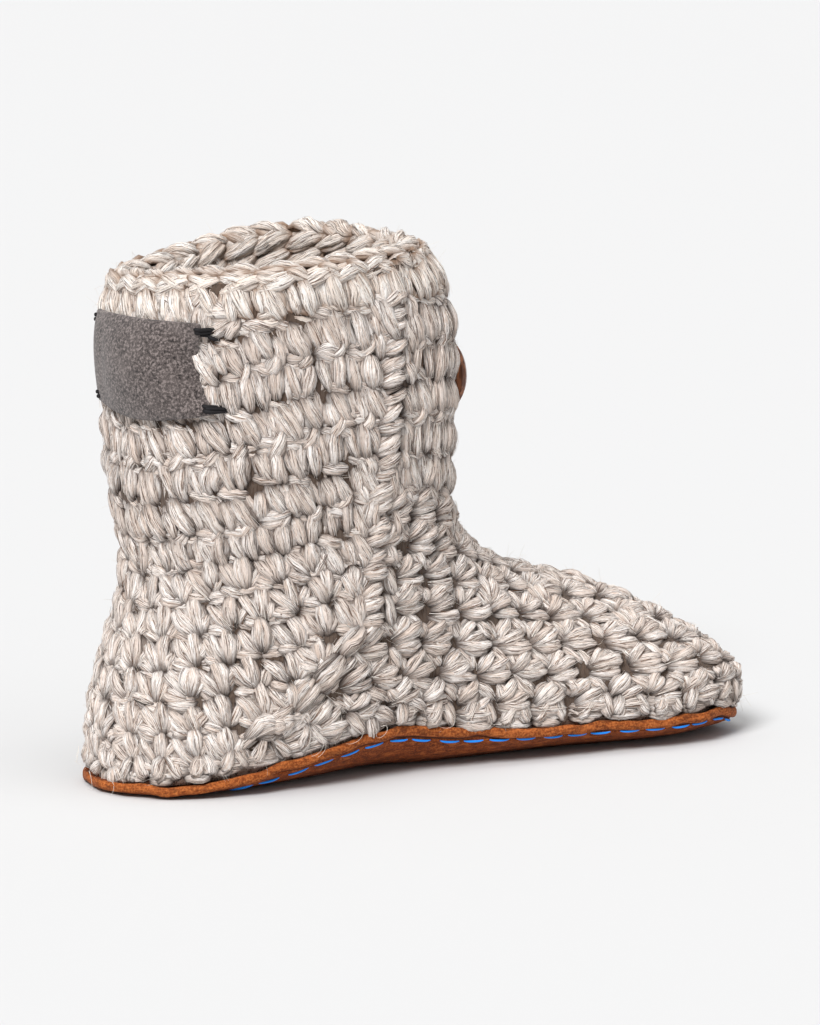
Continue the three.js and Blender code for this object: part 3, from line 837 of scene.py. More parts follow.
CHARTS = {
    # start across, start up, end across, end up, half width, bend, lift, belly
    "heel": (
        (0.30, -0.56, 0.22, 0.78, 3.3, 0.4, 0.3, 0.60),
        (0.28, -0.56, -0.42, 0.62, 3.2, -0.4, 0.2, 0.60),
        (0.26, -0.54, -0.56, -0.16, 2.7, 0.0, 0.0, 0.58),
        (0.34, -0.46, 0.74, 0.30, 2.7, 0.0, -0.4, 0.58),
        (-0.58, 0.64, 0.58, 0.54, 3.0, 0.0, -1.7, 0.5),
    ),
    "upright": (
        (-0.46, 0.60, -0.16, -0.66, 2.5, 0.5, 0.1, 0.45),
        (0.20, 0.58, 0.18, -0.66, 3.2, 1.2, 0.6, 0.45),
        (-0.14, 0.26, 0.42, 0.78, 2.2, 0.6, 0.6, 0.5),
        (-0.64, 0.60, 0.56, 0.50, 3.4, 0.0, -1.6, 0.5),
        (0.54, 0.62, 0.50, -0.62, 3.0, 0.0, -1.9, 0.5),
        (-0.12, 0.62, -0.02, -0.62, 3.0, 0.0, -1.9, 0.5),
    ),
    "leaning": (
        (-0.60, 0.66, 0.44, 0.30, 2.4, 0.0, -0.6, 0.5),
        (-0.20, 0.62, 0.42, -0.68, 3.2, 0.5, 0.6, 0.52),
        (-0.46, 0.40, -0.26, -0.56, 2.7, -0.4, -0.1, 0.5),
        (-0.60, -0.50, 0.60, -0.60, 3.4, 0.0, -1.6, 0.5),
        (0.16, 0.62, 0.66, -0.60, 3.0, 0.0, -1.9, 0.5),
        (-0.44, 0.62, 0.04, -0.60, 3.0, 0.0, -1.9, 0.5),
    ),
    "hem": (
        (-0.62, 0.10, 0.50, -0.10, 2.4, 0.6, -1.1, 0.5),
        (-0.34, -0.74, 0.04, 0.80, 2.9, 0.5, 0.7, 0.5),
        (0.12, 0.74, 0.54, -0.74, 2.9, -0.5, 0.5, 0.5),
        (-0.60, -0.62, 0.56, -0.66, 2.4, 0.0, -1.1, 0.5),
    ),
    "foot": (
        (-0.52, -0.30, 0.58, -0.22, 3.1, 0.9, 0.2, 0.58),
        (-0.52, -0.26, 0.48, 0.26, 3.0, 0.3, 0.2, 0.60),
        (-0.50, -0.22, 0.14, 0.66, 3.0, -0.3, 0.3, 0.60),
        (-0.02, 0.72, 0.54, -0.08, 2.6, 0.0, -0.5, 0.5),
        (-0.60, 0.62, -0.30, -0.10, 2.5, 0.0, -0.7, 0.5),
    ),
}


def from_line(places, line):
    """How far places are from a line of (along, up) points in mm, seen from the side."""
    flat = np.stack([places[:, 0] - HEEL_X, places[:, 2]], 1)
    best = np.full(len(flat), 9.0)
    for first, second in zip(line[:-1], line[1:]):
        a, b = np.array(first) * MM, np.array(second) * MM
        share = np.clip(((flat - a) @ (b - a)) / ((b - a) @ (b - a)), 0, 1)
        best = np.minimum(best, np.linalg.norm(flat - a - share[:, None] * (b - a), axis=1))
    return best


def crochet(skin, rows, chart, chosen=slice(None), fall=0.0, plies=PLIES):
    """The leaves of one chart on the chosen stitches."""
    parts = []
    at, beside, up, facing = (rows[key][chosen] for key in ROW_PARTS[1:])
    count = len(at)
    sway = draw.normal(0, SWAY, (2, count, 1))
    at = at + beside * sway[0] + up * sway[1]
    for across_a, up_a, across_b, up_b, half, bend, lift, belly in CHARTS[chart]:
        shift = draw.normal(0, JITTER, (4, count, 1))
        start = at + beside * (across_a + shift[0]) + up * (up_a + shift[1])
        end = at + beside * (across_b + shift[2]) + up * (up_b + shift[3])
        sideways = unit(np.cross(end - start, facing))
        bow = sideways * (bend * MM * draw.uniform(*BOWS, (count, 1)))
        width = half * MM * draw.uniform(*WIDTHS, count)
        height = CREST + lift * MM + draw.normal(0, LIFT_STRAY, count) * MM
        few = plies if lift > LOW_LIFT else FEW_PLIES
        parts.append(leaves(skin, start, end, bow, width, height, belly, fall, few))
    return joined(parts)


spot = outside["place"]
even = outside["row"] % 2 == 0
on_heel = behind_seam(spot)
low_heel = on_heel & (spot[:, 2] < HEEL_TOP)
on_shaft = (on_heel & ~low_heel) | (~on_heel & (spot[:, 2] > FOOT_TOP))
on_foot = ~on_heel & ~on_shaft
clear = (from_line(spot, SEAM) > SEAM_CLEAR) & (from_rim(spot) > RIM_CLEAR)
PATCHES = (
    # name, chart, where
    ("wool_heel", "heel", low_heel),
    ("wool_shaft_upright", "upright", on_shaft & even),
    ("wool_shaft_leaning", "leaning", on_shaft & ~even),
    ("wool_foot_inner", "foot", on_foot & (spot[:, 1] < 0)),
    ("wool_foot_outer", "foot", on_foot & (spot[:, 1] >= 0)),
)
for name, chart, where in PATCHES:
    piece(name, crochet(outer, outside, chart, where & clear), WOOL, "wool")
WOOL_PIECES = [patch[0] for patch in PATCHES]
WOOL_PIECES += ["wool_top_row", "wool_hem", "wool_gaps", "wool_collar", "wool_seams"]

top_row = worked(outer, from_rim(outer.points), [(TOP_ROW, HIGH_ROW)])
piece("wool_top_row", crochet(outer, top_row, "leaning"), WOOL_LIT, "wool")


def bare_stitches(skin, covered, gap):
    """Stitches for places on a skin that are further than gap from all covered places."""
    far = near(covered)(skin.points)
    chosen = []
    while far.max() > gap:
        chosen.append(skin.points[far.argmax()])
        far = np.minimum(far, np.linalg.norm(skin.points - chosen[-1], axis=1))
    place, facing = skin.on(np.array(chosen))
    beside = unit(np.cross(facing, np.broadcast_to((0.0, 1.0, 0.15), facing.shape)))
    beside *= np.where(facing[:, 1:2] > 0.5, -1, 1) * np.sign(beside[:, :1])
    rise = np.cross(facing, beside)
    rise *= np.where((facing[:, 2:] < 0.7) & (rise[:, 2:] < 0), -1, 1)
    sizes = (np.zeros(len(place)), place, beside * STITCH, rise * LOW_ROW, facing)
    return dict(zip(ROW_PARTS, sizes))


seam_line = outer.points[from_line(outer.points, SEAM) < SEAM_CLEAR]
worked_places = np.concatenate([spot[clear], top_row["place"], seam_line, outer.edge])
gaps = bare_stitches(outer, worked_places, GAP)
piece("wool_gaps", crochet(outer, gaps, "heel"), WOOL, "wool")

hem = worked(outer, height_field, [HEM_ROW])
piece("wool_hem", crochet(outer, hem, "hem", fall=HEM_FALL), WOOL, "wool")

inside = worked(inner, from_inner_rim(inner.points), LINING_ROWS)
piece("wool_lining", crochet(inner, inside, "leaning", plies=FEW_PLIES), WOOL_LIT, "wool")

# %% [markdown]
# ## Collar
# The last row ends in a chain that lies on top of the rim. Seen from outside it is a
# rope of long flat strands, and from inside the other half of the chain shows. Both
# halves are strands that climb along the rim from one side to its middle.

# %% Collar
RIM_STITCH = 12.5 * MM
RIM_HALF = 3.1 * MM
RIM_WALL = 8.4 * MM
RIM_CREST, RIM_FALL = -1.8 * MM, 4.0 * MM
RIM_BEYOND, RIM_STRAY, CREST_FACING = 8 * MM, 0.012, 0.85
RIM_WIDTHS = (0.9, 1.15)
RIM_CHART = (
    # from side, to side, length in stitches, lift in mm
    (1.50, 0.50, 1.5, -0.3),
    (-0.80, 0.40, 1.4, 0.3),
    (-0.65, -1.60, 1.4, 0.0),
    (-1.50, -2.50, 1.4, -0.6),
)

crown = welded("upper")
rim_crest = np.array([
    v.co[:] for v in crown.verts if v.co.z > RIM_HEIGHT and v.normal.z > CREST_FACING
])
rim_middle = rim_crest[:, :2].mean(0)
rim_away = rim_crest[:, :2] - rim_middle


def waves(turn, order=4):
    """Columns of sines and cosines, for an even closed curve."""
    columns = [np.ones_like(turn)]
    for n in range(1, order + 1):
        columns += [np.cos(n * turn), np.sin(n * turn)]
    return np.stack(columns, -1)


rim_turn = np.arctan2(rim_away[:, 1], rim_away[:, 0])
rim_reach = np.linalg.lstsq(waves(rim_turn), np.hypot(*rim_away.T), rcond=None)[0]
rim_level = np.linalg.lstsq(waves(rim_turn), rim_crest[:, 2], rcond=None)[0]
print("rim", len(rim_crest), np.round(rim_level / MM, 1), np.round(rim_reach / MM, 1))


def on_rim(turn, side):
    """Places on the rim at angles. Side is 1 outside, -1 inside and 0 on the crest."""
    bent = np.clip(side, -1, 1) * np.pi / 2
    reach = waves(turn) @ rim_reach + np.sin(bent) * RIM_WALL / 2
    beyond = np.maximum(np.abs(side) - 1, 0) * RIM_BEYOND
    up = waves(turn) @ rim_level + RIM_CREST - RIM_FALL * (1 - np.cos(bent)) - beyond
    out = np.stack([np.cos(turn), np.sin(turn)], -1)
    place = np.concatenate([rim_middle + out * reach[..., None], up[..., None]], -1)
    normal = np.concatenate([out * np.sin(bent)[..., None], np.cos(bent)[..., None]], -1)
    return place, unit(normal)


rim_count = round(2 * np.pi * rim_reach[0] / RIM_STITCH)
share, swell, spread = leaf_shape(0.5)
chain = []
for first, last, length, lift in RIM_CHART:
    turn = (np.arange(rim_count)[:, None] + share * length) / rim_count * 2 * np.pi
    turn = turn + draw.normal(0, RIM_STRAY, (rim_count, 1))
    path, normal = on_rim(turn, first + (last - first) * share + 0 * turn)
    path = path + normal * (lift * MM - SINK * (1 - swell))[None, :, None]
    width = RIM_HALF * draw.uniform(*RIM_WIDTHS, rim_count)
    chain.append(plied(path, normal, width, swell, spread))
piece("wool_collar", joined(chain), WOOL_LIT, "wool")

# %% [markdown]
# ## The wall under the stitches
# Between the leaves one sees into the wall, where the yarn is in shade. That shade is
# painted: the wall has a darker copy of the wool. The solid upper stands there, drawn
# in on both sides so that it is thinner than the stitches. Its tone is low outside,
# behind the leaves, which paints more shade there, and full inside the shaft. Under
# the collar it ends lower, and round the button it follows the stitches in.

# %% Wall
WALL_DRAW, WALL_REACH, WALL_FACING = 1.6 * MM, 2.5 * MM, -0.2
WALL_FIBRE, OUTSIDE_SHADE_TONE = 0.4, 0.15
RIM_DRAW, RIM_DEEP = 4.5 * MM, 9 * MM
WALL_PRESS = 1.3

wall = welded("upper")
wall_tone = np.ones(len(wall.verts))
for index, vertex in enumerate(wall.verts):
    # Low tone on the outer side paints shade on the wall behind the leaves
    for skin, tone in ((outer, OUTSIDE_SHADE_TONE), (inner, 1.0)):
        place, away, _, gap = skin.tree.find_nearest(vertex.co)
        if gap < WALL_REACH and vertex.normal.dot(away) > WALL_FACING:
            vertex.co = place - away * WALL_DRAW
            wall_tone[index] = tone
            break
wall.normal_update()
wall_points = np.array([v.co[:] for v in wall.verts])
wall_normals = np.array([v.normal[:] for v in wall.verts])
wall_press = WALL_PRESS * pressed(wall_points) * (wall_tone < 1)
wall_points -= wall_normals * wall_press[:, None]
wall_away = wall_points[:, :2] - rim_middle
below = waves(np.arctan2(wall_away[:, 1], wall_away[:, 0])) @ rim_level - wall_points[:, 2]
wall_points[:, 2] -= RIM_DRAW * np.clip(1 - below / RIM_DEEP, 0, 1)
wall_faces = np.array([[v.index for v in f.verts] for f in wall.faces])
wall_parts = (wall_points, wall_faces, wall_points / MM * WALL_FIBRE, wall_tone)
piece("wool_wall", wall_parts, WOOL_SHADED, "wool", "upper")

# %% [markdown]
# ## Side seams
# The heel piece is joined to the front by a thick seam on each side. Low down it is a
# slanting rope of long strands with low ones behind it. On the shaft it is a ladder of
# short bars with a line of leaning strands on each side.

# %% Side seams
SEAM_LIFT = 0.4 * MM
SEAM_STRAY, SEAM_FAN, SEAM_WIDTHS = 0.8, 0.9, (0.85, 1.2)
BESIDE_BOOT = 0.2
SEAM_CHARTS = (
    # from height, to height, pitch, (along, up) of start and end, half width, bend, lift, in mm
    (2, 58, 8.0, (-7.0, -5.5), (5.0, 7.5), 4.0, 0.8, 0.3),
    (2, 58, 6.0, (1.0, -6.0), (11.0, 4.0), 3.0, 0.0, -1.6),
    (2, 58, 6.0, (-12.0, -3.0), (-2.0, 5.0), 3.0, 0.0, -1.6),
    (58, 174, 5.6, (-6.6, -2.2), (6.6, 2.0), 2.9, 0.7, 0.4),
    (60, 172, 10.5, (5.2, 6.5), (10.2, -6.5), 2.8, 0.4, 0.2),
    (60, 172, 10.5, (-9.5, 5.5), (-5.0, -5.5), 2.7, 0.4, -0.3),
)


def on_side(along, up, side):
    """Places on the outer skin, found from one side. Side is -1 for the foot's inner side."""
    found = []
    for x, z in zip(along, up):
        start = Vector((HEEL_X + x, side * BESIDE_BOOT, z))
        hit = outer.tree.ray_cast(start, Vector((0, -side, 0)))[0]
        found.append(hit[:] if hit else start[:])
    return np.array(found)


ladder = []
for side in (-1, 1):
    for low, high, pitch, first, last, half, bend, lift in SEAM_CHARTS:
        up = np.arange(low, high, pitch) * MM
        count = len(up)
        along = seam_at(up)
        shift = draw.normal(0, SEAM_STRAY, (4, count)) * MM
        fan = (np.arange(count) % 3 - 1) * MM
        shift[1] -= fan
        shift[3] += SEAM_FAN * fan
        start = on_side(along + first[0] * MM + shift[0], up + first[1] * MM + shift[1], side)
        end = on_side(along + last[0] * MM + shift[2], up + last[1] * MM + shift[3], side)
        bow = np.tile((0.0, 0.0, bend * MM), (count, 1))
        width = half * MM * draw.uniform(*SEAM_WIDTHS, count)
        height = np.full(count, CREST + SEAM_LIFT + lift * MM)
        ladder.append(leaves(outer, start, end, bow, width, height))
piece("wool_seams", joined(ladder), WOOL, "wool")

# %% [markdown]
# ## Loose fibres and stray hairs
# Wool is never smooth. Some fibres lie loosely on each strand, pale or dark brown, and
# lift at their ends. Finer hairs stand off every strand and soften its outline, and a
# few curl over the leather. Each is a thin bent tube, and all of one kind are one mesh.

# %% Loose fibres and stray hairs
FIBRE_HALF = 0.12 * MM
HAIRS = 6000
HAIR_STEPS = 5
HAIR_HALF, LOOP_HALF = 0.06 * MM, 0.084 * MM
HAIR_LENGTHS, HAIR_LONGEST = (3.0, 1.1), 6.5
HAIR_UP, HAIR_LEAN, HAIR_CURL, MOST_CURL = 0.7, 0.6, 0.35, 0.6
LOOPS, LOOP_STEPS = 26, 14
LOOP_TURNS, LOOP_SIZES = (2.5, 5.0), (1.5, 4.0)
LOOP_OUT = 3.5 * MM
OFF_FLOOR = 0.3 * MM
THIN_SIDES = 3
SKEWED = (0.31, 0.52, 0.79)


def thin_tubes(path, half):
    """Thin round tubes that taper to their ends."""
    taper = np.tile(half * (1 - 0.6 * np.linspace(0, 1, path.shape[1])), (len(path), 1))
    return tubes(path, np.broadcast_to(SKEWED, path.shape), taper, 1.0, 0.0, THIN_SIDES)


LOOSE = (
    # name, paths, colour
    ("wool_fibres_pale", LOOSE_PALE, linear(240, 232, 224)),
    ("wool_fibres_dark", LOOSE_DARK, linear(122, 90, 68)),
)
for name, paths, colour in LOOSE:
    piece(name, thin_tubes(np.concatenate(paths), FIBRE_HALF), plain(name, colour, 0.8), "wool")

roots, root_normals = [], []
for name in WOOL_PIECES:
    mesh = bpy.data.objects[name].data
    for index in draw.integers(0, len(mesh.polygons), HAIRS // len(WOOL_PIECES)):
        face = mesh.polygons[int(index)]
        roots.append(face.center[:])
        root_normals.append(face.normal[:])
roots, root_normals = np.array(roots), np.array(root_normals)
outward = (root_normals * outer.on(roots)[1]).sum(1) > 0.1
roots, root_normals = roots[outward], root_normals[outward]
count = len(roots)
length = np.minimum(draw.gamma(*HAIR_LENGTHS, (count, 1)), HAIR_LONGEST) * MM
lean = unit(root_normals * HAIR_UP + draw.normal(0, HAIR_LEAN, (count, 3)))
curl = np.clip(draw.normal(0, HAIR_CURL, (count, 3)), -MOST_CURL, MOST_CURL)
share = np.linspace(0, 1, HAIR_STEPS)[None, :, None]
hair_path = roots[:, None] + length[:, None] * (lean[:, None] * share + curl[:, None] * share ** 2)
hair_path[..., 2] = np.maximum(hair_path[..., 2], OFF_FLOOR)

chosen = draw.integers(0, len(hem["place"]), LOOPS)
loop_turn = draw.uniform(*LOOP_TURNS, (LOOPS, 1)) * np.linspace(0, 1, LOOP_STEPS)
loop_half = draw.uniform(*LOOP_SIZES, (LOOPS, 1)) * MM
loop_at, loop_out, loop_side = (hem[key][chosen][:, None] for key in ("place", "facing", "across"))
loop_path = (
    loop_at + loop_out * LOOP_OUT
    + unit(loop_side) * (loop_half * np.sin(loop_turn) * 1.4)[..., None]
    - np.array((0, 0, 1)) * (loop_half * (1 - np.cos(loop_turn)))[..., None]
    + loop_out * (loop_half * 0.4 * np.sin(loop_turn * 0.7))[..., None]
)
loop_path[..., 2] = np.maximum(loop_path[..., 2], OFF_FLOOR)
LOOP_LOOK = plain("wool_loop", linear(236, 228, 218), 0.7)
HAIR_LOOK = plain("wool_hair", linear(226, 216, 205), 0.8)
piece("wool_loops", thin_tubes(loop_path, LOOP_HALF), LOOP_LOOK, "wool")
piece("wool_hairs", thin_tubes(hair_path, HAIR_HALF), HAIR_LOOK, "wool")

# %% [markdown]
# ## Leather sole
# The sole is one sheet of suede, cut a little wider than the foot. Its outline and
# its two faces are read off the solid, so that it lies where the solid does. The cut
# edge is never quite even, so it waves a little up and down and in and out.

# %% Leather sole
SOLE_POINTS = 300
SOLE_SHARES = (0.0, 0.35, 0.62, 0.80, 0.90, 0.945, 0.965, 0.978, 0.99, 1.0)
GROOVE_SHARE, GROOVE = 0.978, 0.45 * MM
EDGE_ROWS = (0.25, 0.5, 0.75)
EDGE_WAVE, SIDE_SHARE = 0.9 * MM, 0.7
EDGE_BACK = 0.25 * MM
WAVE_TURNS = (5, 9, 14, 23, 37, 52)
STATIONS, SPINE_INSET = 200, 0.045
FAR_BELOW = 0.3

sole = welded("outsole")
sole_tree = BVHTree.FromBMesh(sole)
sole_ends = np.array([[v.co[:] for v in edge.verts] for edge in sole.edges])


def sole_width(x):
    """The lowest and highest y of the sole at one place along it."""
    low, high = sole_ends[:, 0], sole_ends[:, 1]
    crosses = (low[:, 0] - x) * (high[:, 0] - x) <= 0
    low, high = low[crosses], high[crosses]
    step = np.where(np.abs(high[:, 0] - low[:, 0]) < 1e-9, 1, high[:, 0] - low[:, 0])
    y = low[:, 1] + (high[:, 1] - low[:, 1]) * np.clip((x - low[:, 0]) / step, 0, 1)
    return y.min(), y.max()


sole_low, sole_high = sole_ends.reshape(-1, 3).min(0), sole_ends.reshape(-1, 3).max(0)
turn = np.linspace(0.01, np.pi - 0.01, STATIONS)
stations = sole_low[0] + (sole_high[0] - sole_low[0]) * (1 - np.cos(turn)) / 2
sides = np.array([sole_width(x) for x in stations])
near_side, far_side = (np.stack([stations, sides[:, i]], 1) for i in range(2))
border = np.concatenate([near_side, far_side[::-1], near_side[:1]])
border_run = np.concatenate([[0], np.linalg.norm(np.diff(border, axis=0), axis=1).cumsum()])
at = np.linspace(0, border_run[-1], SOLE_POINTS, endpoint=False)
border = np.stack([np.interp(at, border_run, border[:, i]) for i in range(2)], 1)
border_out = unit(np.stack([
    np.roll(border[:, 1], -1) - np.roll(border[:, 1], 1),
    np.roll(border[:, 0], 1) - np.roll(border[:, 0], -1),
], 1))
spine_x = np.clip(border[:, 0], sole_low[0] + SPINE_INSET, sole_high[0] - SPINE_INSET)
spine = np.stack([spine_x, np.interp(spine_x, stations, sides.mean(1))], 1)


def sole_face(flat, upper):
    """Heights of the solid sole's top or underside at flat places."""
    heights = []
    for x, y in flat:
        away = 1 if upper else -1
        hit = sole_tree.ray_cast(Vector((x, y, away * FAR_BELOW)), Vector((0, 0, -away)))[0]
        heights.append(hit.z if hit else np.nan)
    heights = np.array(heights)
    known = ~np.isnan(heights)
    heights[~known] = np.interp(np.flatnonzero(~known), np.flatnonzero(known), heights[known])
    return heights


def wave(run, seed):
    """A slow uneven wave along the border."""
    phases = np.random.default_rng(seed).uniform(0, 6.28, len(WAVE_TURNS))
    total = sum(np.sin(run / run_length * 2 * np.pi * turns + phase) / (1 + 0.3 * n)
                for n, (turns, phase) in enumerate(zip(WAVE_TURNS, phases)))
    return total / 2


run_length = border_run[-1]
lift_wave, side_wave = wave(at, 3), wave(at, 4)
tops, sole_edge, bottoms = [], [], []
for share_out in SOLE_SHARES:
    flat = spine + (border - border_out * EDGE_BACK - spine) * share_out
    top, bottom = sole_face(flat, True), sole_face(flat, False)
    grow = share_out ** 12
    flat = flat + border_out * (side_wave * EDGE_WAVE * SIDE_SHARE * grow)[:, None]
    lifted = np.maximum(lift_wave * EDGE_WAVE * grow, OFF_FLOOR - bottom) * (grow > 0.05)
    tops.append(np.column_stack([flat, top + lifted]))
    creased = GROOVE * (share_out == GROOVE_SHARE)
    bottoms.append(np.column_stack([flat - border_out * creased, bottom + lifted + creased]))
for part in EDGE_ROWS:
    bulge = border_out * (1 + math.sin(math.pi * part)) * EDGE_BACK
    middle = tops[-1] + (bottoms[-1] - tops[-1]) * part
    sole_edge.append(np.column_stack([middle[:, :2] + bulge, middle[:, 2]]))
profile = np.array(tops + sole_edge + bottoms[::-1])
edge_and_groove_shade = np.zeros(profile.shape[:2])
edge_and_groove_shade[len(tops) - 1:len(tops) + len(sole_edge) + 1] = 1.0
# The groove row is marked for painted shade, the raw edge rows for their paler fibres
edge_and_groove_shade[len(profile) - 1 - SOLE_SHARES.index(GROOVE_SHARE)] = -1.0
lines = profile.shape[0]
grid = np.arange(lines * SOLE_POINTS).reshape(lines, SOLE_POINTS)
ahead = np.roll(grid, -1, 1)
sole_quads = np.stack([grid[:-1], grid[1:], ahead[1:], ahead[:-1]], -1).reshape(-1, 4)


def leather_material():
    """Tan suede, darker than the hide itself as painted shade for the underside: brushed patches,
    paler loose fibres at the raw edge, streaks along it, and painted shade in the groove.
    """
    # Body colours darker than the suede itself: painted shade for the underside
    made = material(
        "leather", NAP, 0.8, 0.6, 0.35, 0.02,
        Base=linear(118, 54, 18), Light=linear(156, 80, 34), Dark=linear(82, 36, 12),
        Speck_Size=1500.0, Patch_Size=80.0,
    )
    w = Wiring(made.node_tree)
    surface = made.node_tree.nodes["Principled BSDF"]
    body = surface.inputs["Base Color"].links[0].from_socket
    raw = w.node("ShaderNodeAttribute", {"attribute_name": "tone"}).outputs["Fac"]
    place = w.node("ShaderNodeTexCoord").outputs["Object"]
    loose = w.noise(place, 1300.0, 3.0, 0.7)
    pale = w.mix(w.step(loose, 0.40, 0.65), linear(122, 58, 22), linear(192, 114, 58))
    colour = w.mix(w.math("MULTIPLY", w.step(raw, 0.1, 0.9), 0.75), body, pale)
    streak = w.noise(w.stretch(place, (0.28, 0.28, 1.0)), 900.0, 3.0, 0.6, 0.4)
    colour = w.mix(w.step(streak, 0.50, 0.36, 0.0, 0.50), colour, linear(66, 29, 10))
    colour = w.mix(w.step(streak, 0.52, 0.68, 0.0, 0.45), colour, linear(190, 108, 54))
    # Painted shade in the groove along the edge
    colour = w.mix(w.step(raw, -0.2, -0.9), colour, linear(62, 30, 14))
    w.join(surface.inputs["Base Color"], colour)
    return made


sole_points = profile.reshape(-1, 3)
sole_parts = (sole_points, sole_quads, sole_points / MM, edge_and_groove_shade.ravel())
piece("leather_sole", sole_parts, leather_material(), "leather", "outsole")

# %% [markdown]
# ## Blue running stitch
# A blue cord holds the leather to the wool. It shows as short dashes on the underside,
# close to the cut edge, one about every centimetre.

# %% Blue running stitch
DASH_PITCH, DASH = 10.4 * MM, 7.6 * MM
DASH_HALF = 0.45 * MM
DASH_INSET = ((28, 14.0), (36, 5.0), (60, 3.2), (93, 1.7))
DASH_STEPS, DASH_SIDES = 7, 10
DASH_SINK, DASH_HUMP = 0.15 * MM, 0.35 * MM
THREAD_FLATNESS, THREAD_RIDGES = 0.9, 0.03


def along_border(values, places):
    """Flat values given along the border, read at places on its length."""
    return np.stack([np.interp(places, at, values[:, i], period=run_length) for i in range(2)], -1)


dash_count = round(run_length / DASH_PITCH)
dash_at = np.arange(dash_count)[:, None] * run_length / dash_count + np.linspace(0, DASH, DASH_STEPS)
dash_at = (dash_at + draw.normal(0, 0.5 * MM, (dash_count, 1))) % run_length
inset = np.interp((border[:, 0] - HEEL_X) / MM, *zip(*DASH_INSET))[:, None] * MM
dash_flat = along_border(border - border_out * inset, dash_at)
dash_z = sole_face(dash_flat.reshape(-1, 2), False).reshape(dash_at.shape)
hump = np.sin(np.pi * np.linspace(0, 1, DASH_STEPS)) ** 0.5
dash_z = np.maximum(dash_z - DASH_SINK - DASH_HUMP * (hump - 0.5), DASH_HALF)
dash_path = np.concatenate([dash_flat, dash_z[..., None]], -1)
dash_out = along_border(border_out, dash_at)
dash_normal = unit(np.concatenate([dash_out, np.full(dash_at.shape + (1,), -1.0)], -1))
dash_radius = np.tile(DASH_HALF * (0.5 + 0.5 * hump), (dash_count, 1))
dashes = tubes(dash_path, dash_normal, dash_radius, THREAD_FLATNESS, THREAD_RIDGES, DASH_SIDES)
piece("blue_stitches", dashes, plain("blue_thread", linear(30, 138, 240), 0.6), "blue_thread")

# %% [markdown]
# ## Tab
# The tab is a piece of grey suede, bare, that follows the back of the shaft. The solid
# has its shape already, so its mesh is divided finely and eased at the edges. Between
# the black corner stitches its ends are pulled in, or stand off the wool.

# %% Tab
TAB = material(
    "tab_cloth", NAP, 0.95, 0.5, 0.25, 0.2,
    Base=linear(76, 68, 66), Light=linear(124, 114, 111), Dark=linear(34, 29, 28),
    Speck_Size=1100.0, Patch_Size=90.0,
)
EDGE_PULL, FAR_PULL, BULGE = 4.6 * MM, -0.4, 3.0 * MM
THREAD_HALF, THREAD_SIDES = 0.75 * MM, 8
TAB_PROUD, WOOL_PROUD = 0.2 * MM, 1.2 * MM
BEHIND_BOOT = -0.3
STITCH_DOWN, STITCH_IN, STITCH_STRAY = 1.6, 2.3, 0.4
STITCH_SLOPE, STITCH_RUNS = (-0.4, 0.6), (0.8, 1.1)
END_SINK = 1.5 * MM
CORNER_STITCHES = (
    # side, top, how far a stitch runs across in mm, number, how far apart in mm
    (-1, 1, -2.6, 3, 1.1), (-1, -1, -3.0, 3, 0.7), (1, 1, 3.5, 2, 1.2), (1, -1, 3.5, 2, 1.2),
)

tab = welded("label")
bmesh.ops.subdivide_edges(tab, edges=tab.edges, cuts=2, use_grid_fill=True)
bmesh.ops.triangulate(tab, faces=tab.faces)
for _ in range(2):
    bmesh.ops.smooth_vert(
        tab, verts=tab.verts, factor=0.5, use_axis_x=True, use_axis_y=True, use_axis_z=True
    )
tab.verts.index_update()
tab_points = np.array([v.co[:] for v in tab.verts])
tab_faces = np.array([[v.index for v in f.verts] for f in tab.faces])
tab_low, tab_high = tab_points.min(0), tab_points.max(0)
tab_middle, tab_half = (tab_low + tab_high) / 2, (tab_high - tab_low) / 2
tab_up = (tab_points[:, 2] - tab_middle[2]) / tab_half[2]
near_end = np.clip((np.abs(tab_points[:, 1] - tab_middle[1]) / tab_half[1] - 0.6) / 0.4, 0, 1)
inner_end = tab_points[:, 1] < tab_middle[1]
between_corners = near_end * np.clip(1 - tab_up ** 2, 0, 1)
at_corners = near_end * np.clip(tab_up ** 2, 0, 1)
pull = np.where(inner_end, between_corners - at_corners, FAR_PULL * between_corners)
tab_points[:, 1] += EDGE_PULL * pull
tab_points[:, 0] -= BULGE * between_corners * ~inner_end
tab_tree = BVHTree.FromPolygons(tab_points.tolist(), tab_faces.tolist())
tab_parts = (tab_points, tab_faces, tab_points / MM, np.zeros(len(tab_points)))
piece("tab", tab_parts, TAB, "tab_cloth", "label")


def behind(y, z):
    """The place that a thread lies on, seen from behind: the tab, or else the wool."""
    best = None
    for tree, proud in ((tab_tree, TAB_PROUD), (outer.tree, WOOL_PROUD)):
        hit = tree.ray_cast(Vector((BEHIND_BOOT, y, z)), Vector((1, 0, 0)))[0]
        if hit is not None and (best is None or hit.x - proud < best):
            best = hit.x - proud
    return (best, y, z)


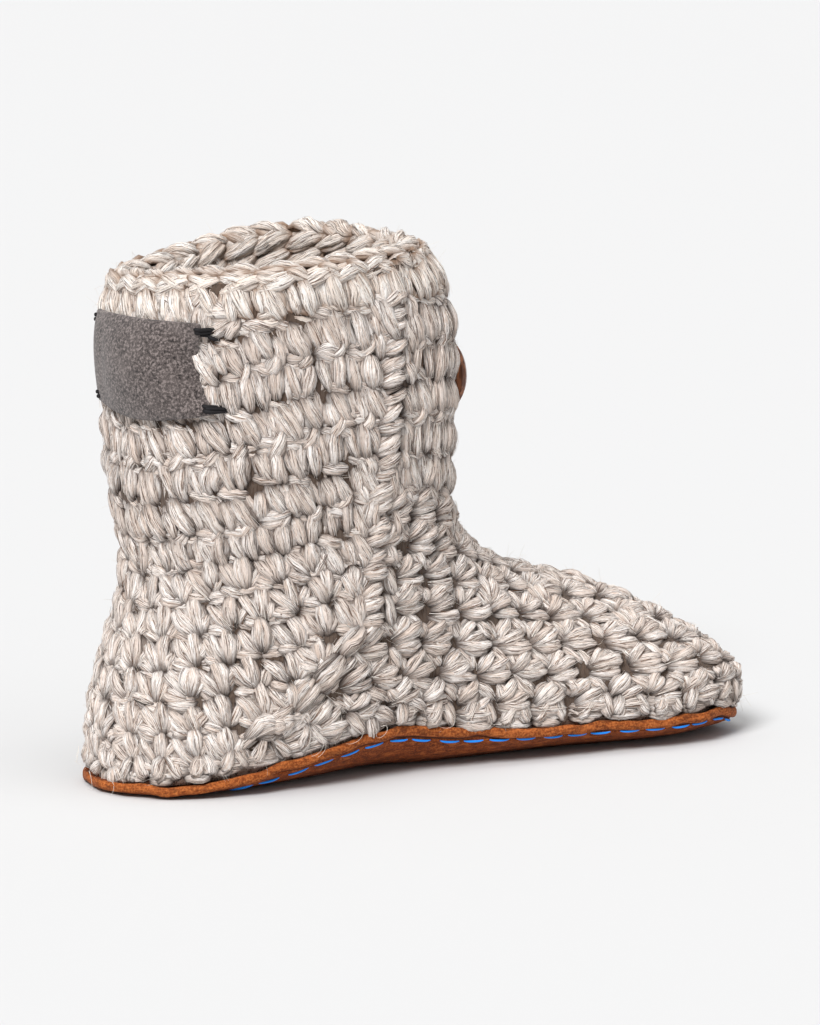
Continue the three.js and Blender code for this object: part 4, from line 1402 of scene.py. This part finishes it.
threads = []
for side, top, run, number, apart in CORNER_STITCHES:
    corner = tab_points[np.argmax(tab_points[:, 1] * side + tab_points[:, 2] * top * 1.2)]
    for index in range(number):
        z = corner[2] - top * (STITCH_DOWN + apart * index) * MM
        y = corner[1] - side * (STITCH_IN + draw.uniform(-STITCH_STRAY, STITCH_STRAY)) * MM
        slope = draw.normal(*STITCH_SLOPE) * MM
        reach = run * MM * draw.uniform(*STITCH_RUNS)
        threads.append([behind(y + reach * t, z + slope * t) for t in np.linspace(0, 1, STEPS)])
threads = np.array(threads)
backward = np.broadcast_to((-1.0, 0.0, 0.0), threads.shape)
ends = np.sin(np.pi * np.linspace(0, 1, STEPS)) ** 0.4
threads[..., 0] += (1 - ends) * END_SINK
thread_radius = np.tile(THREAD_HALF * (0.5 + 0.5 * ends), (len(threads), 1))
sewn = tubes(threads, backward, thread_radius, THREAD_FLATNESS, THREAD_RIDGES, THREAD_SIDES)
piece("black_stitches", sewn, plain("black_thread", linear(24, 22, 24), 0.7), "black_thread")

# %% [markdown]
# ## Button and footbed
# Both solids have the right shape, so they stay and only get a material.

# %% Button and footbed
FELT = material(
    "felt", NAP, 0.95, 0.5, 0.3, 0.2,
    Base=linear(180, 168, 156), Light=linear(205, 195, 184), Dark=linear(140, 126, 112),
)


def wood_material():
    """Brown turned wood: stretched grain under a thin satin finish."""
    made, surface = blank("button_wood", 0.4, WOOD_GLOSS)
    w = Wiring(made.node_tree)
    place = w.node("ShaderNodeTexCoord").outputs["Object"]
    grain = w.noise(w.stretch(place, (1.0, 1.0, 0.12)), 900.0, 3.0, wavy=0.4)
    colour = w.mix(w.step(grain, 0.40, 0.62), linear(88, 48, 28), linear(146, 90, 56))
    w.join(surface.inputs["Base Color"], colour)
    surface.inputs["Coat Weight"].default_value = 0.2
    return made


SHARP = math.radians(35)
for node, look in (("insole", FELT), ("button", wood_material())):
    mesh = frame["nodes"][node].data
    mesh.materials.clear()
    mesh.materials.append(look)
    mesh.shade_smooth()
    mesh.set_sharp_from_angle(angle=SHARP)
    print(node, len(mesh.polygons), "faces kept")
